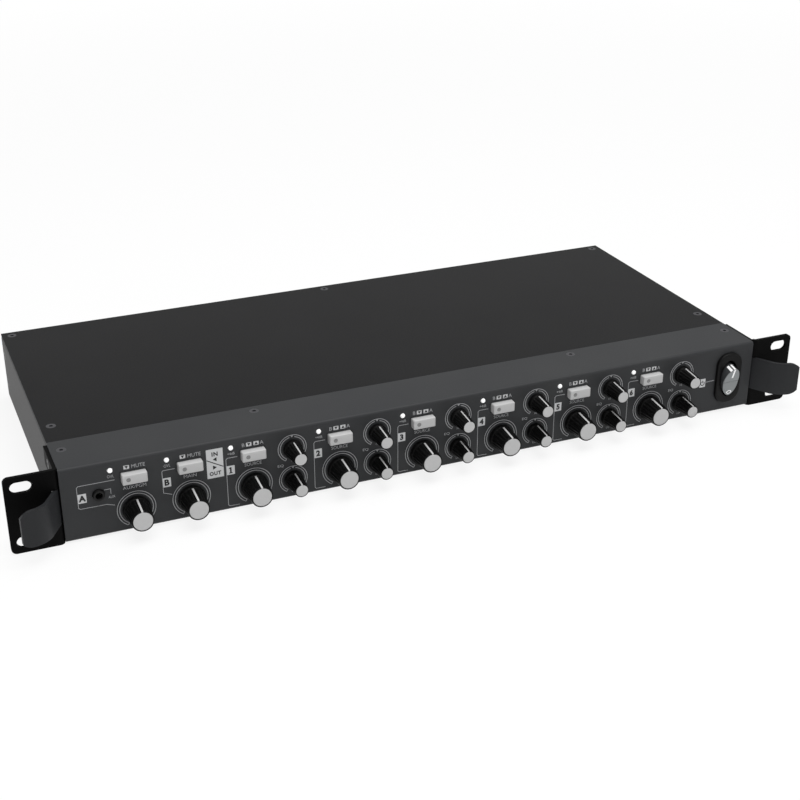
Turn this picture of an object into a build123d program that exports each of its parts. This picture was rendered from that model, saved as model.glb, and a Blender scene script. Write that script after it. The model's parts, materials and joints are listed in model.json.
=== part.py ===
from build123d import *
import os
from math import cos, hypot, pi, sin

# Rack-mount stereo zone selector, one rack unit high: two inputs feed six zone outputs.
# Millimetres. X runs along the front, Y to the rear and Z up. The origin is the middle of the
# four rack slots, on the rear face of the ears, which is the face that lands on the rack rails.

# Rack fixing, to the 19-inch standard
ear_span = 482.6
ear_reach = 27.9
ear_height = 44.4
ear_sheet = 2.0
ear_bend_r = 2.8
ear_corner_r = 3.0
slot_edge = 8.75
slot_pitch_z = 31.75
slot_length = 11.2
slot_width = 6.4

# Case of bent sheet
case_height = 43.2
case_depth = 194.0
tray_sheet = 1.2
tray_bend_r = 1.8
tray_flange = 12.0
cover_sheet = 1.2
front_sheet = 1.2
front_bend_r = 1.8
rear_sheet = 1.2
rear_bend_r = 1.8
strip_depth = 33.3
front_return = 14.0
lip_depth = 13.0
lip_overlap = 8.6
cover_tab_width = 22.0
cover_tab_depth = 18.0
cover_tab_overlap = 7.0
rear_flange = 11.0
rear_tab = 12.0
rear_tab_height = 30.0
seam = 0.15

# Clearances
overrun = 2.0
hole_play = 0.25
screw_play = 0.05
spindle_play = 0.05
slide_play = 0.3

# Countersunk case screws
screw_d = 3.0
screw_head_d = 5.4
screw_head_h = 1.2
screw_length = 5.5
screw_socket = 2.0
screw_socket_depth = 0.8
cover_screw_inset = 6.0
cover_screw_front_y = 50.5
cover_screw_rear_inset = 5.5
strip_screw_side_y = 20.3
strip_screw_share = 0.4686
strip_screw_inner_y = 25.5
return_screw_inset = 13.4
return_screw_share = 0.328
return_screw_y = 6.0
tab_screw_z = 9.0

# Ears' side flanges and the bent grips
flange_height = 42.4
flange_length = 31.3
lug_screw_y = 18.0
lug_screw_z = 16.0
grip_sheet = 2.0
grip_height = 20.8
grip_flange = 26.0
grip_root_y = 0.5
grip_knee_out = 10.1
grip_knee_y = 17.0
grip_end_out = 23.1
grip_end_y = 19.8
grip_root_r = 8.0
grip_knee_r = 14.0
grip_corner_r = 8.0
grip_notch = 4.2
grip_screw_front_y = 8.0
grip_screw_rear_y = 21.0

# Places of the controls on the front panel
input_a_inset = 38.4
input_pitch = 30.0
zones_left_room = 78.4
zones_right_room = 48.4
zone_count = 6
tone_offset_x = 22.5
level_z = -9.2
treble_z = 8.9
bass_z = -10.2
button_z = 10.4
led_offset_x = 12.0
led_z = 16.0
jack_inset = 19.3
jack_z = 3.3
rocker_inset = 17.2
rocker_z = 0.7

# Control board behind the front panel
board_sheet = 1.6
control_board_gap = 11.8
control_board_left_gap = 7.4
control_board_right_gap = 32.4
control_board_height = 33.0
stud_d = 5.0
stud_z = 14.0
stud_offset_x = 12.5

# Turning knobs and their potentiometers
knob_gap = 0.6
knob_skirt_h = 2.4
knob_wall_step = 0.3
knob_rim_h = 0.2
knob_cap_sheet = 1.2
knob_crown = 3.0
pointer_proud = 0.12
pointer_depth = 0.6
level_knob_h = 15.2
level_base_d = 15.5
level_top_d = 12.0
level_cap_d = 10.9
level_flutes = 20
level_pointer = 1.0
level_spindle_d = 6.0
tone_knob_h = 15.0
tone_base_d = 11.0
tone_top_d = 7.8
tone_cap_d = 7.0
tone_flutes = 16
tone_pointer = 0.75
tone_spindle_d = 4.0
flute_depth = 0.35
bushing_wall = 0.8
bushing_inset = 0.4
pot_width = 9.8
pot_height = 11.0
pot_depth = 6.0
pot_floor = 1.0

# Push buttons and their latching switches
button_width = 13.4
button_height = 5.9
button_proud = 3.9
button_edge_r = 0.6
button_corner_r = 0.5
button_wall = 1.1
button_lip = 0.7
button_lip_sheet = 0.8
button_travel = 1.8
button_window_d = 2.6
button_window_inset = 3.2
button_window_depth = 0.3
plunger = 2.4
plunger_wall = 0.8
plunger_bite = 2.6
switch_width = 8.2
switch_height = 6.4
switch_depth = 7.0

# Status lamps
led_d = 2.9
led_proud = 0.9
led_dome = 0.7
led_flange_d = 3.8
led_flange_h = 1.0
led_length = 4.4
lead_d = 0.6
lead_pitch = 2.54

# Front jack socket
jack_nose_d = 6.2
jack_proud = 2.0
jack_bore_d = 3.6
jack_width = 10.0
jack_height = 8.0
jack_floor = 1.5

# Power rocker, resting with its lower end pressed
bezel_width = 17.5
bezel_height = 33.0
bezel_r = 7.8
bezel_proud = 2.2
bezel_edge_r = 0.9
rocker_width = 11.0
rocker_half_length = 9.9
rocker_reach = 5.7
rocker_dish = 0.9
rocker_back = 2.5
rocker_housing_r = 3.3
rocker_tilt = 13.5
rocker_pivot_back = 0.2
trunnion_d = 2.4
trunnion_length = 0.8
rocker_housing_wall = 1.3
rocker_well = 6.0
rocker_housing_depth = 20.0
terminal_width = 4.8
terminal_sheet = 0.8
terminal_length = 6.0
terminal_pitch = 7.0

# Main board and what stands on it
standoff_d = 5.5
standoff_h = 6.0
main_board_left_gap = 17.4
main_board_right_gap = 60.4
main_board_depth = 80.8
board_rear_gap = 2.0
board_hole_inset = 6.0
header_width = 34.0
header_height = 6.0
header_depth = 8.0
header_inset = 12.0
ribbon_width = 28.0
ribbon_sheet = 1.0
ribbon_bend_r = 5.0
ribbon_level_z = 2.0

# Phono sockets at the rear
phono_pitch_z = 14.5
phono_block_width = 11.0
phono_block_height = 28.0
phono_block_depth = 13.0
phono_d = 8.3
phono_wall = 0.6
phono_root_step = 0.15
phono_proud = 9.0
phono_seat = 2.0
phono_core_short = 1.0
phono_pin_d = 3.4
phono_pin_depth = 9.0

# Mains inlet at the rear
inlet_inset = 26.4
inlet_z = 1.0
inlet_plate_width = 49.0
inlet_plate_height = 23.0
inlet_plate_r = 4.0
inlet_plate_sheet = 2.2
inlet_body_width = 27.4
inlet_body_height = 19.6
inlet_body_depth = 16.0
inlet_well_width = 24.2
inlet_well_height = 16.2
inlet_well_chamfer = 4.0
inlet_well_depth = 15.0
inlet_screw_pitch = 40.0
blade_thick = 2.0
blade_height = 4.0
blade_pitch = 14.0
blade_offset_z = 2.0
blade_short = 3.5
blade_tail = 7.0

# Pan-head screws
pan_head_d = 5.6
pan_head_h = 1.9
pan_head_edge = 0.6
pan_length = 6.0

# Power supply
psu_board_width = 48.0
psu_board_gap = 7.4
psu_front_room = 60.0
psu_rear_room = 42.0
transformer_width = 22.0
transformer_depth = 24.0
transformer_height = 17.0
transformer_core_width = 8.0
transformer_core_proud = 1.2
transformer_corner_r = 2.0
transformer_share = 0.587
capacitor_d = 10.0
capacitor_h = 16.0
capacitor_edge = 0.5
capacitor_share = 0.196
capacitor_pitch = 14.0
mains_lead_d = 2.6
mains_lead_r = 6.0
mains_lead_z = 12.0
mains_lead_side = 11.0

# Planes and levels worked out from the sizes above
front_y = -ear_sheet
rear_y = front_y + case_depth
case_width = ear_span - 2 * ear_reach
slot_pitch_x = ear_span - 2 * slot_edge
half_width = case_width / 2
top_z = case_height / 2
bottom_z = -case_height / 2
seat_z = top_z - cover_sheet
strip_top_z = seat_z + front_sheet
strip_rear_y = front_y + strip_depth
return_rear_y = front_y + front_return
floor_z = bottom_z + tray_sheet
inner_half = half_width - tray_sheet
board_z = floor_z + standoff_h
board_top_z = board_z + board_sheet
control_board_back = front_sheet + control_board_gap
main_board_left = half_width - main_board_left_gap
main_board_right = half_width - main_board_right_gap
main_board_rear_y = rear_y - rear_sheet - board_rear_gap
main_board_front_y = main_board_rear_y - main_board_depth
psu_board_left_x = half_width - psu_board_gap - psu_board_width
psu_board_front_y = front_y + psu_front_room
psu_board_depth = rear_y - psu_rear_room - psu_board_front_y
transformer_y = psu_board_front_y + transformer_share * psu_board_depth
capacitor_y = psu_board_front_y + capacitor_share * psu_board_depth
phono_z = board_top_z + phono_block_height / 2

input_a_x = input_a_inset - half_width
input_xs = [input_a_x, input_a_x + input_pitch]
zone_pitch = (case_width - zones_left_room - zones_right_room) / zone_count
zone_xs = [zones_left_room - half_width + zone_pitch * (place + 1 / 2) for place in range(zone_count)]
jack_x = jack_inset - half_width
rocker_x = half_width - rocker_inset
inlet_x = half_width - inlet_inset
header_x = (zone_xs[1] + zone_xs[2]) / 2
cover_screw_x = half_width - cover_screw_inset
cover_screw_rear_y = rear_y - cover_screw_rear_inset
strip_screw_inner_x = strip_screw_share * half_width
return_screw_xs = (half_width - return_screw_inset, return_screw_share * half_width)
channel_xs = input_xs + zone_xs
channel_names = ["input_a", "input_b"] + [f"zone_{place + 1}" for place in range(zone_count)]


def block(x_span, y_span, z_span):
    """A box between a low and a high value on each axis."""
    spans = (x_span, y_span, z_span)
    middle = [(low + high) / 2 for low, high in spans]
    size = [high - low for low, high in spans]
    return Pos(*middle) * Box(*size)


def rod(radius, low, high):
    """A round bar along local Z."""
    return Pos(0, 0, low) * Cylinder(radius, high - low, align=(Align.CENTER, Align.CENTER, Align.MIN))


def prism(face, low, high):
    """A flat face raised along local Z between two levels."""
    return Pos(0, 0, low) * extrude(face, amount=high - low)


def bent_sheet(points, bend_r, thickness, side):
    """The section of a sheet that follows a bent line and has its thickness on one side of it."""
    line = FilletPolyline(*points, radius=bend_r)
    return make_face(offset(line, amount=thickness, side=side, closed=True).edges())


def on_panel(x, z):
    """Local X along the front, local Y up and local Z out of the front panel."""
    return Pos(x, front_y, z) * Rot(X=90)


def on_rear(x, z):
    """Local Y up and local Z out of the rear panel."""
    return Pos(x, rear_y, z) * Rot(Z=180) * Rot(X=90)


def on_left_side(y, z, reach):
    """Local Z out of the case's left side, at a distance from its wall."""
    return Pos(-half_width - reach, y, z) * Rot(Y=-90)


def both_sides(shape):
    """A left-hand piece with its mirror image on the right."""
    return [shape, shape.mirror(Plane.YZ)]


def screw_shape(play):
    """A countersunk screw's envelope, head up, with its head's top at zero."""
    head = Cone(screw_d / 2 + play, screw_head_d / 2 + play, screw_head_h,
                align=(Align.CENTER, Align.CENTER, Align.MAX))
    return head + rod(screw_d / 2 + play, -screw_length - play, -screw_head_h)


def screw():
    socket = prism(RegularPolygon(screw_socket / 2, 6, major_radius=False), -screw_socket_depth, overrun)
    return screw_shape(0) - socket


def screw_hole():
    return screw_shape(screw_play) + rod(screw_head_d / 2 + screw_play, 0, overrun)


def pan_screw():
    head = chamfer(rod(pan_head_d / 2, 0, pan_head_h).edges().group_by(Axis.Z)[-1], pan_head_edge)
    socket = prism(RegularPolygon(screw_socket / 2, 6, major_radius=False),
                   pan_head_h - screw_socket_depth, pan_head_h + overrun)
    return head + rod(screw_d / 2, -pan_length, 0) - socket


def pan_hole():
    return rod(screw_d / 2 + screw_play, -pan_length - overrun, overrun)


# Places of every screw, each with the hole that takes it
cover_places = [Pos(side * cover_screw_x, y, top_z)
                for side in (-1, 1) for y in (cover_screw_front_y, cover_screw_rear_y)]
cover_places.append(Pos(0, cover_screw_rear_y, top_z))
strip_places = [Pos(side * cover_screw_x, strip_screw_side_y, strip_top_z) for side in (-1, 1)]
strip_tab_places = [Pos(side * strip_screw_inner_x, strip_screw_inner_y, strip_top_z) for side in (-1, 1)]
return_places = [Pos(side * x, return_screw_y, bottom_z) * Rot(X=180)
                 for side in (-1, 1) for x in return_screw_xs]
tab_places = [on_left_side(rear_y - rear_tab / 2, side * tab_screw_z, 0) for side in (-1, 1)]
lug_places = [on_left_side(lug_screw_y, side * lug_screw_z, ear_sheet) for side in (-1, 1)]
grip_places = [on_left_side(y, 0, grip_sheet) for y in (grip_screw_front_y, grip_screw_rear_y)]
inlet_places = [on_rear(inlet_x + side * inlet_screw_pitch / 2, inlet_z) for side in (-1, 1)]
main_board_places = [Pos(x, y, board_top_z)
                     for x in (-main_board_left + board_hole_inset, 0, main_board_right - board_hole_inset)
                     for y in (main_board_front_y + board_hole_inset,
                               main_board_rear_y - phono_block_depth - board_hole_inset)]
psu_board_places = [Pos(psu_board_left_x + x, psu_board_front_y + y, board_top_z)
                    for x in (board_hole_inset, psu_board_width - board_hole_inset)
                    for y in (board_hole_inset, psu_board_depth - board_hole_inset)]
stud_xs = [x + stud_offset_x for x in [input_a_x] + zone_xs[::2] + zone_xs[-1:]]
stud_places = [(x, side * stud_z) for x in stud_xs for side in (-1, 1)]


def chassis_tray():
    """Floor and side walls bent from one sheet, with flanges for the cover and a raised front lip."""
    flange_x = half_width - tray_flange
    points = [(-flange_x, seat_z), (-half_width, seat_z), (-half_width, bottom_z),
              (half_width, bottom_z), (half_width, seat_z), (flange_x, seat_z)]
    section = bent_sheet(points, tray_bend_r, tray_sheet, Side.LEFT)
    wall_front_y = front_y + front_bend_r
    tray = extrude(Plane.XZ.offset(-rear_y) * section, amount=rear_y - wall_front_y)
    whole = (-half_width - overrun, half_width + overrun)
    lip_z = bottom_z + front_sheet
    tray -= block(whole, (front_y, return_rear_y + seam), (bottom_z - overrun, lip_z))
    tray -= block((-inner_half, inner_half), (rear_y - rear_sheet - seam, rear_y + overrun),
                  (seat_z - tray_sheet - tray_bend_r, seat_z + overrun))
    lip_front_y = return_rear_y - lip_overlap
    tray += block((-inner_half, inner_half), (lip_front_y, lip_front_y + lip_depth),
                  (lip_z, lip_z + tray_sheet))
    for place in cover_places + strip_places + return_places:
        tray -= place * screw_hole()
    for place in tab_places + lug_places + grip_places:
        for hole in both_sides(place * screw_hole()):
            tray -= hole
    return tray


def top_cover():
    """Flat lid with two joggled tabs that reach under the front strip."""
    front_edge_y = strip_rear_y + seam
    cover = block((-half_width, half_width), (front_edge_y, rear_y), (seat_z, top_z))
    tab_rear_y = front_edge_y + cover_tab_overlap
    for side in (-1, 1):
        middle_x = side * strip_screw_inner_x
        cover += block((middle_x - cover_tab_width / 2, middle_x + cover_tab_width / 2),
                       (tab_rear_y - cover_tab_depth, tab_rear_y), (seat_z - cover_sheet, seat_z))
    for place in cover_places + strip_tab_places:
        cover -= place * screw_hole()
    return cover


def rear_panel():
    """Rear wall with a top flange for the cover and end tabs for the side walls."""
    end_x = inner_half - seam / 2
    points = [(rear_y - rear_flange, seat_z), (rear_y, seat_z), (rear_y, floor_z)]
    section = bent_sheet(points, rear_bend_r, rear_sheet, Side.RIGHT)
    panel = extrude(Plane.YZ * section, amount=end_x, both=True)
    flange_end_x = half_width - tray_flange - seam
    for side in (-1, 1):
        corner = block((flange_end_x, half_width), (rear_y - rear_flange - overrun, rear_y - rear_sheet),
                       (floor_z, seat_z + overrun))
        tab = block((end_x - rear_sheet, end_x), (rear_y - rear_tab, rear_y - rear_sheet),
                    (-rear_tab_height / 2, rear_tab_height / 2))
        if side < 0:
            corner = corner.mirror(Plane.YZ)
            tab = tab.mirror(Plane.YZ)
        relief = block((inner_half - tray_bend_r, half_width), (rear_y - rear_tab, rear_y + overrun),
                       (floor_z - overrun, floor_z + tray_bend_r))
        panel = panel - corner + tab
        panel -= relief if side > 0 else relief.mirror(Plane.YZ)
    low, high = -rear_sheet - overrun, overrun
    for x in channel_xs:
        for side in (-1, 1):
            centre = on_rear(x, phono_z + side * phono_pitch_z / 2)
            panel -= centre * rod(phono_d / 2 + hole_play, low, high)
    inlet_hole = Rectangle(inlet_body_width + 2 * hole_play, inlet_body_height + 2 * hole_play)
    panel -= on_rear(inlet_x, inlet_z) * prism(inlet_hole, low, high)
    for place in inlet_places:
        panel -= place * pan_hole()
    for place in cover_places:
        panel -= place * screw_hole()
    for place in tab_places:
        for hole in both_sides(place * screw_hole()):
            panel -= hole
    return panel


def front_panel():
    """Bent front: the face with its openings, the strip over the top and the return underneath."""
    points = [(strip_rear_y, strip_top_z), (front_y, strip_top_z),
              (front_y, bottom_z), (return_rear_y, bottom_z)]
    section = bent_sheet(points, front_bend_r, front_sheet, Side.LEFT)
    panel = extrude(Plane.YZ * section, amount=half_width, both=True)
    low, high = -front_sheet - overrun, overrun
    spindle_hole = rod(level_spindle_d / 2 + spindle_play + bushing_wall + hole_play, low, high)
    tone_hole = rod(tone_spindle_d / 2 + spindle_play + bushing_wall + hole_play, low, high)
    button_hole = prism(RectangleRounded(button_width + 2 * slide_play, button_height + 2 * slide_play,
                                         button_corner_r + slide_play), low, high)
    led_hole = rod(led_d / 2 + hole_play / 2, low, high)
    for x in channel_xs:
        panel -= on_panel(x, level_z) * spindle_hole
        panel -= on_panel(x, button_z) * button_hole
        panel -= on_panel(x - led_offset_x, led_z) * led_hole
    for x in zone_xs:
        for z in (treble_z, bass_z):
            panel -= on_panel(x + tone_offset_x, z) * tone_hole
    panel -= on_panel(jack_x, jack_z) * rod(jack_nose_d / 2 + hole_play, low, high)
    panel -= on_panel(rocker_x, rocker_z) * prism(rocker_housing_outline(hole_play), low, high)
    for place in strip_places + strip_tab_places + return_places:
        panel -= place * screw_hole()
    return panel


def rack_ear():
    """Left ear: slotted plate bent from two side lugs, notched where the grip comes through."""
    points = [(-ear_span / 2, front_y), (-half_width, front_y), (-half_width, front_y + flange_length)]
    section = bent_sheet(points, ear_bend_r, ear_sheet, Side.LEFT)
    ear = extrude(section, amount=ear_height / 2, both=True)
    depth = (front_y - overrun, front_y + flange_length + overrun)
    outline = prism(RectangleRounded(ear_span, ear_height, ear_corner_r), -flange_length - overrun, overrun)
    ear &= on_panel(0, 0) * outline
    for side in (-1, 1):
        low, high = sorted((side * flange_height / 2, side * (ear_height / 2 + overrun)))
        ear -= block((-half_width - ear_bend_r, -half_width), (front_y + ear_bend_r, depth[1]), (low, high))
        slot = prism(SlotOverall(slot_length, slot_width), -ear_sheet - overrun, overrun)
        ear -= on_panel(-slot_pitch_x / 2, side * slot_pitch_z / 2) * slot
    notch_half = grip_height / 2 + seam
    ear -= block((-half_width - grip_notch, -half_width + overrun), depth, (-notch_half, notch_half))
    for place in lug_places:
        ear -= place * screw_hole()
    return ear


def ear_grip():
    """Left grip: a tongue bent out and forward from its own flange on the case's side."""
    points = [(-half_width, grip_flange), (-half_width, grip_root_y),
              (-half_width - grip_knee_out, -grip_knee_y), (-half_width - grip_end_out, -grip_end_y)]
    section = bent_sheet(points, (grip_root_r, grip_knee_r), grip_sheet, Side.RIGHT)
    grip = extrude(section, amount=grip_height / 2, both=True)
    reach = 2 * (half_width + grip_end_out + grip_sheet)
    outline = prism(RectangleRounded(reach, grip_height, grip_corner_r), -grip_flange - overrun - ear_sheet,
                    grip_end_y + overrun)
    grip &= on_panel(0, 0) * outline
    for place in grip_places:
        grip -= place * screw_hole()
    return grip


def control_board():
    """Upright board that carries the controls, fixed to studs on the front panel."""
    back = control_board_back
    board = block((control_board_left_gap - half_width, half_width - control_board_right_gap),
                  (front_y + back, front_y + back + board_sheet),
                  (-control_board_height / 2, control_board_height / 2))
    for x, z in stud_places:
        board -= on_panel(x, z) * rod(screw_d / 2 + screw_play, -back - board_sheet - overrun, overrun - back)
    return board


def panel_stud():
    """Threaded stud pressed on the back of the front panel."""
    return rod(stud_d / 2, -control_board_back, -front_sheet) - rod(
        screw_d / 2 + screw_play, -control_board_back - overrun, -control_board_back + pan_length + overrun)


def potentiometer(spindle_d):
    """Square body on the control board with a bushing that reaches through the panel."""
    back = control_board_back
    pot = prism(Rectangle(pot_width, pot_height), -back, -back + pot_depth)
    pot += rod(spindle_d / 2 + spindle_play + bushing_wall, -back + pot_depth, -bushing_inset)
    return pot - rod(spindle_d / 2 + spindle_play, -back + pot_floor, overrun)


def knob_profile(radius, flutes):
    """A fluted outline: a ring of points that step between the ridges and the grooves."""
    turns = [pi * step / flutes for step in range(2 * flutes)]
    reach = [radius - flute_depth * (step % 2) for step in range(2 * flutes)]
    return make_face(Polyline(*[(r * sin(a), r * cos(a)) for r, a in zip(reach, turns)], close=True))


def turning_knob(height, base_d, top_d, cap_d, flutes, pointer, spindle_d):
    """Moulded knob with skirt, flutes and a raised pointer, its end cap and its spindle."""
    skirt_top = knob_gap + knob_skirt_h
    rim = height - knob_rim_h
    taper = (base_d - top_d) / 2 / (rim - knob_gap)
    skirt_r = base_d / 2 - taper * knob_skirt_h
    grip_r = skirt_r - knob_wall_step
    skirt = Pos(0, 0, knob_gap) * Cone(base_d / 2, skirt_r, knob_skirt_h,
                                       align=(Align.CENTER, Align.CENTER, Align.MIN))
    grip = loft([Pos(0, 0, skirt_top) * knob_profile(grip_r, flutes),
                 Pos(0, 0, rim) * knob_profile(top_d / 2, flutes)], ruled=True)
    line = [(grip_r + pointer_proud, skirt_top), (top_d / 2 + pointer_proud, rim),
            (top_d / 2 - pointer_depth, rim), (grip_r - pointer_depth, skirt_top)]
    rib = extrude(Plane.YZ * make_face(Polyline(*line, close=True)), amount=pointer / 2, both=True)
    bore_top = height - knob_cap_sheet - knob_crown
    moulding = skirt + grip + rib
    moulding -= rod(spindle_d / 2 + screw_play, 0, bore_top)
    moulding -= rod(cap_d / 2 + screw_play, height - knob_cap_sheet, height + overrun)
    cap = rod(cap_d / 2, height - knob_cap_sheet, height)
    cap = chamfer(cap.edges().group_by(Axis.Z)[-1], knob_rim_h)
    spindle = rod(spindle_d / 2, -control_board_back + pot_floor + spindle_play, bore_top - screw_play)
    return [moulding, cap, spindle]


def push_button():
    """Hollow cap with a retaining lip and a lamp window, and the switch plunger it is pushed on."""
    lip_front = -front_sheet - slide_play
    lip_back = lip_front - button_lip_sheet
    cap = prism(RectangleRounded(button_width, button_height, button_corner_r), lip_back, button_proud)
    cap = fillet(cap.edges().group_by(Axis.Z)[-1], button_edge_r)
    cap += prism(Rectangle(button_width + 2 * button_lip, button_height + 2 * button_lip),
                 lip_back, lip_front)
    roof = button_proud - button_wall - button_window_depth
    cap -= prism(Rectangle(button_width - 2 * button_wall, button_height - 2 * button_wall),
                 lip_back - overrun, roof)
    cap += prism(Rectangle(plunger + 2 * plunger_wall, button_height - 2 * button_wall), lip_back, roof)
    socket_top = lip_back + 2 * plunger_bite - plunger_wall
    socket = plunger + 2 * screw_play
    cap -= prism(Rectangle(socket, socket), lip_back - overrun, socket_top)
    window_x = button_window_inset - button_width / 2
    window_floor = button_proud - button_window_depth
    cap -= Pos(window_x, 0, 0) * rod(button_window_d / 2, window_floor, button_proud + overrun)
    switch_front = -control_board_back + switch_depth
    stem = prism(Rectangle(plunger, plunger), switch_front - plunger_bite, socket_top - screw_play)
    return [cap, stem]


def push_switch():
    """Latching switch body on the control board, with a square hole for the plunger."""
    back = control_board_back
    body = prism(Rectangle(switch_width, switch_height), -back, -back + switch_depth)
    hole = plunger + 2 * slide_play
    room = plunger_bite + button_travel + slide_play
    return body - prism(Rectangle(hole, hole), -back + switch_depth - room, overrun - back + switch_depth)


def status_led():
    """Domed lamp with its flange and two leads down to the control board."""
    side_top = led_proud - led_dome
    back = led_proud - led_length
    lens_r = led_d / 2
    ball_r = (lens_r ** 2 + led_dome ** 2) / (2 * led_dome)
    dome = Pos(0, 0, led_proud - ball_r) * Sphere(ball_r) & rod(lens_r, side_top, led_proud + overrun)
    led = dome + rod(lens_r, back, side_top) + rod(led_flange_d / 2, back, back + led_flange_h)
    for side in (-1, 1):
        led += Pos(side * lead_pitch / 2, 0, 0) * rod(lead_d / 2, -control_board_back, back)
    return led


def aux_jack():
    """Jack socket block on the control board, its nose through the panel."""
    back = control_board_back
    jack = prism(Rectangle(jack_width, jack_height), -back, -front_sheet - hole_play)
    jack += rod(jack_nose_d / 2, -front_sheet - hole_play, jack_proud)
    return jack - rod(jack_bore_d / 2, -back + jack_floor, jack_proud + overrun)


def rocker_sweep():
    """Radius that the rocker's ends keep from its pivot."""
    return hypot(rocker_half_length, rocker_reach)


def rocker_well_outline():
    return Ellipse(rocker_width / 2 + slide_play, rocker_sweep() + slide_play)


def rocker_housing_outline(play):
    wall = rocker_housing_wall + slide_play + play
    return RectangleRounded(rocker_width + 2 * wall, 2 * (rocker_sweep() + wall), rocker_housing_r + play)


def rocker_frame():
    """Oval bezel and switch housing with the pivot holes, and its rear terminals."""
    bezel = prism(RectangleRounded(bezel_width, bezel_height, bezel_r), 0, bezel_proud)
    bezel = fillet(bezel.edges().group_by(Axis.Z)[-1], bezel_edge_r)
    frame = bezel + prism(rocker_housing_outline(0), -rocker_housing_depth, 0)
    frame -= prism(rocker_well_outline(), -rocker_well, bezel_proud + overrun)
    reach = rocker_width / 2 + trunnion_length + slide_play
    frame -= Pos(0, 0, -rocker_pivot_back) * Rot(Y=90) * rod(trunnion_d / 2 + spindle_play, -reach, reach)
    terminal = prism(Rectangle(terminal_width, terminal_sheet),
                     -rocker_housing_depth - terminal_length, -rocker_housing_depth)
    return [frame] + [Pos(0, side * terminal_pitch / 2, 0) * terminal for side in (-1, 1)]


def power_rocker():
    """Rocker of elliptical plan with a shallow V across its face, and two trunnions."""
    rocker = prism(Ellipse(rocker_width / 2, rocker_half_length), -rocker_back, rocker_reach + rocker_dish / 2)
    far, rise = 2 * rocker_half_length, rocker_reach + rocker_dish
    face = make_face(Polyline((-far, rise), (0, rocker_reach - rocker_dish), (far, rise), close=True))
    rocker -= extrude(Plane.YZ * face, amount=rocker_width, both=True)
    reach = rocker_width / 2 + trunnion_length
    rocker += Rot(Y=90) * rod(trunnion_d / 2, -reach, reach)
    return Pos(0, 0, -rocker_pivot_back) * Rot(X=rocker_tilt) * rocker


def main_board():
    """Signal board on standoffs, with the rear sockets on its back edge."""
    board = block((-main_board_left, main_board_right), (main_board_front_y, main_board_rear_y),
                  (board_z, board_top_z))
    for place in main_board_places:
        board -= place * pan_hole()
    return board


def psu_board():
    board = block((psu_board_left_x, psu_board_left_x + psu_board_width),
                  (psu_board_front_y, psu_board_front_y + psu_board_depth), (board_z, board_top_z))
    for place in psu_board_places:
        board -= place * pan_hole()
    return board


def standoff():
    """Pillar from the tray's floor to a board, below that board's screw."""
    pillar = rod(standoff_d / 2, -standoff_h - board_sheet, -board_sheet)
    return pillar - rod(screw_d / 2 + screw_play, -standoff_h - board_sheet - overrun, 0)


def board_headers():
    """Ribbon headers: one on the back of the control board and one on the main board."""
    half = header_width / 2
    back_y = front_y + control_board_back + board_sheet
    upright = block((header_x - half, header_x + half), (back_y, back_y + header_depth),
                    (ribbon_level_z - header_height / 2, ribbon_level_z + header_height / 2))
    flat_y = main_board_front_y + header_inset
    flat = block((header_x - half, header_x + half), (flat_y, flat_y + header_height),
                 (board_top_z, board_top_z + header_depth))
    return [upright, flat]


def ribbon_cable():
    """Flat cable from the control board's header, over the gap and down into the main board's."""
    start_y = front_y + control_board_back + board_sheet + header_depth
    end_y = main_board_front_y + header_inset + header_height / 2
    end_z = board_top_z + header_depth
    upper_z = ribbon_level_z + ribbon_sheet / 2
    outer_y = end_y + ribbon_sheet / 2
    points = [(start_y, upper_z), (outer_y, upper_z), (outer_y, end_z)]
    section = bent_sheet(points, ribbon_bend_r, ribbon_sheet, Side.RIGHT)
    return Pos(header_x, 0, 0) * extrude(Plane.YZ * section, amount=ribbon_width / 2, both=True)


def phono_block():
    """Stacked pair of phono sockets: the housing on the board and the two insulating cores."""
    back = -rear_sheet - phono_block_depth
    body = prism(Rectangle(phono_block_width, phono_block_height), back, -rear_sheet)
    for side in (-1, 1):
        centre = Pos(0, side * phono_pitch_z / 2, 0)
        body -= centre * rod(phono_d / 2 + screw_play, -rear_sheet - phono_seat, overrun)
        body += centre * rod(phono_d / 2 - phono_wall - screw_play, -rear_sheet - phono_seat,
                             phono_proud - phono_core_short)
        body -= centre * rod(phono_pin_d / 2, phono_proud - phono_pin_depth, phono_proud)
    return body


def phono_barrel():
    """Plated sleeve round a phono socket's core."""
    low = -rear_sheet - phono_seat
    sleeve = rod(phono_d / 2, 0, phono_proud) + rod(phono_d / 2 - phono_root_step, low, 0)
    return sleeve - rod(phono_d / 2 - phono_wall, low - overrun, phono_proud + overrun)


def barrels(xs):
    return [on_rear(x, phono_z + side * phono_pitch_z / 2) * phono_barrel() for x in xs for side in (-1, 1)]


def inlet_well():
    """Mains socket outline, with two corners cut off on the earth side."""
    half_x, half_y = inlet_well_width / 2, inlet_well_height / 2
    cut = inlet_well_chamfer
    corners = [(-half_x, -half_y), (half_x, -half_y), (half_x, half_y - cut),
               (half_x - cut, half_y), (-half_x + cut, half_y), (-half_x, half_y - cut)]
    return make_face(Polyline(*corners, close=True))


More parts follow.
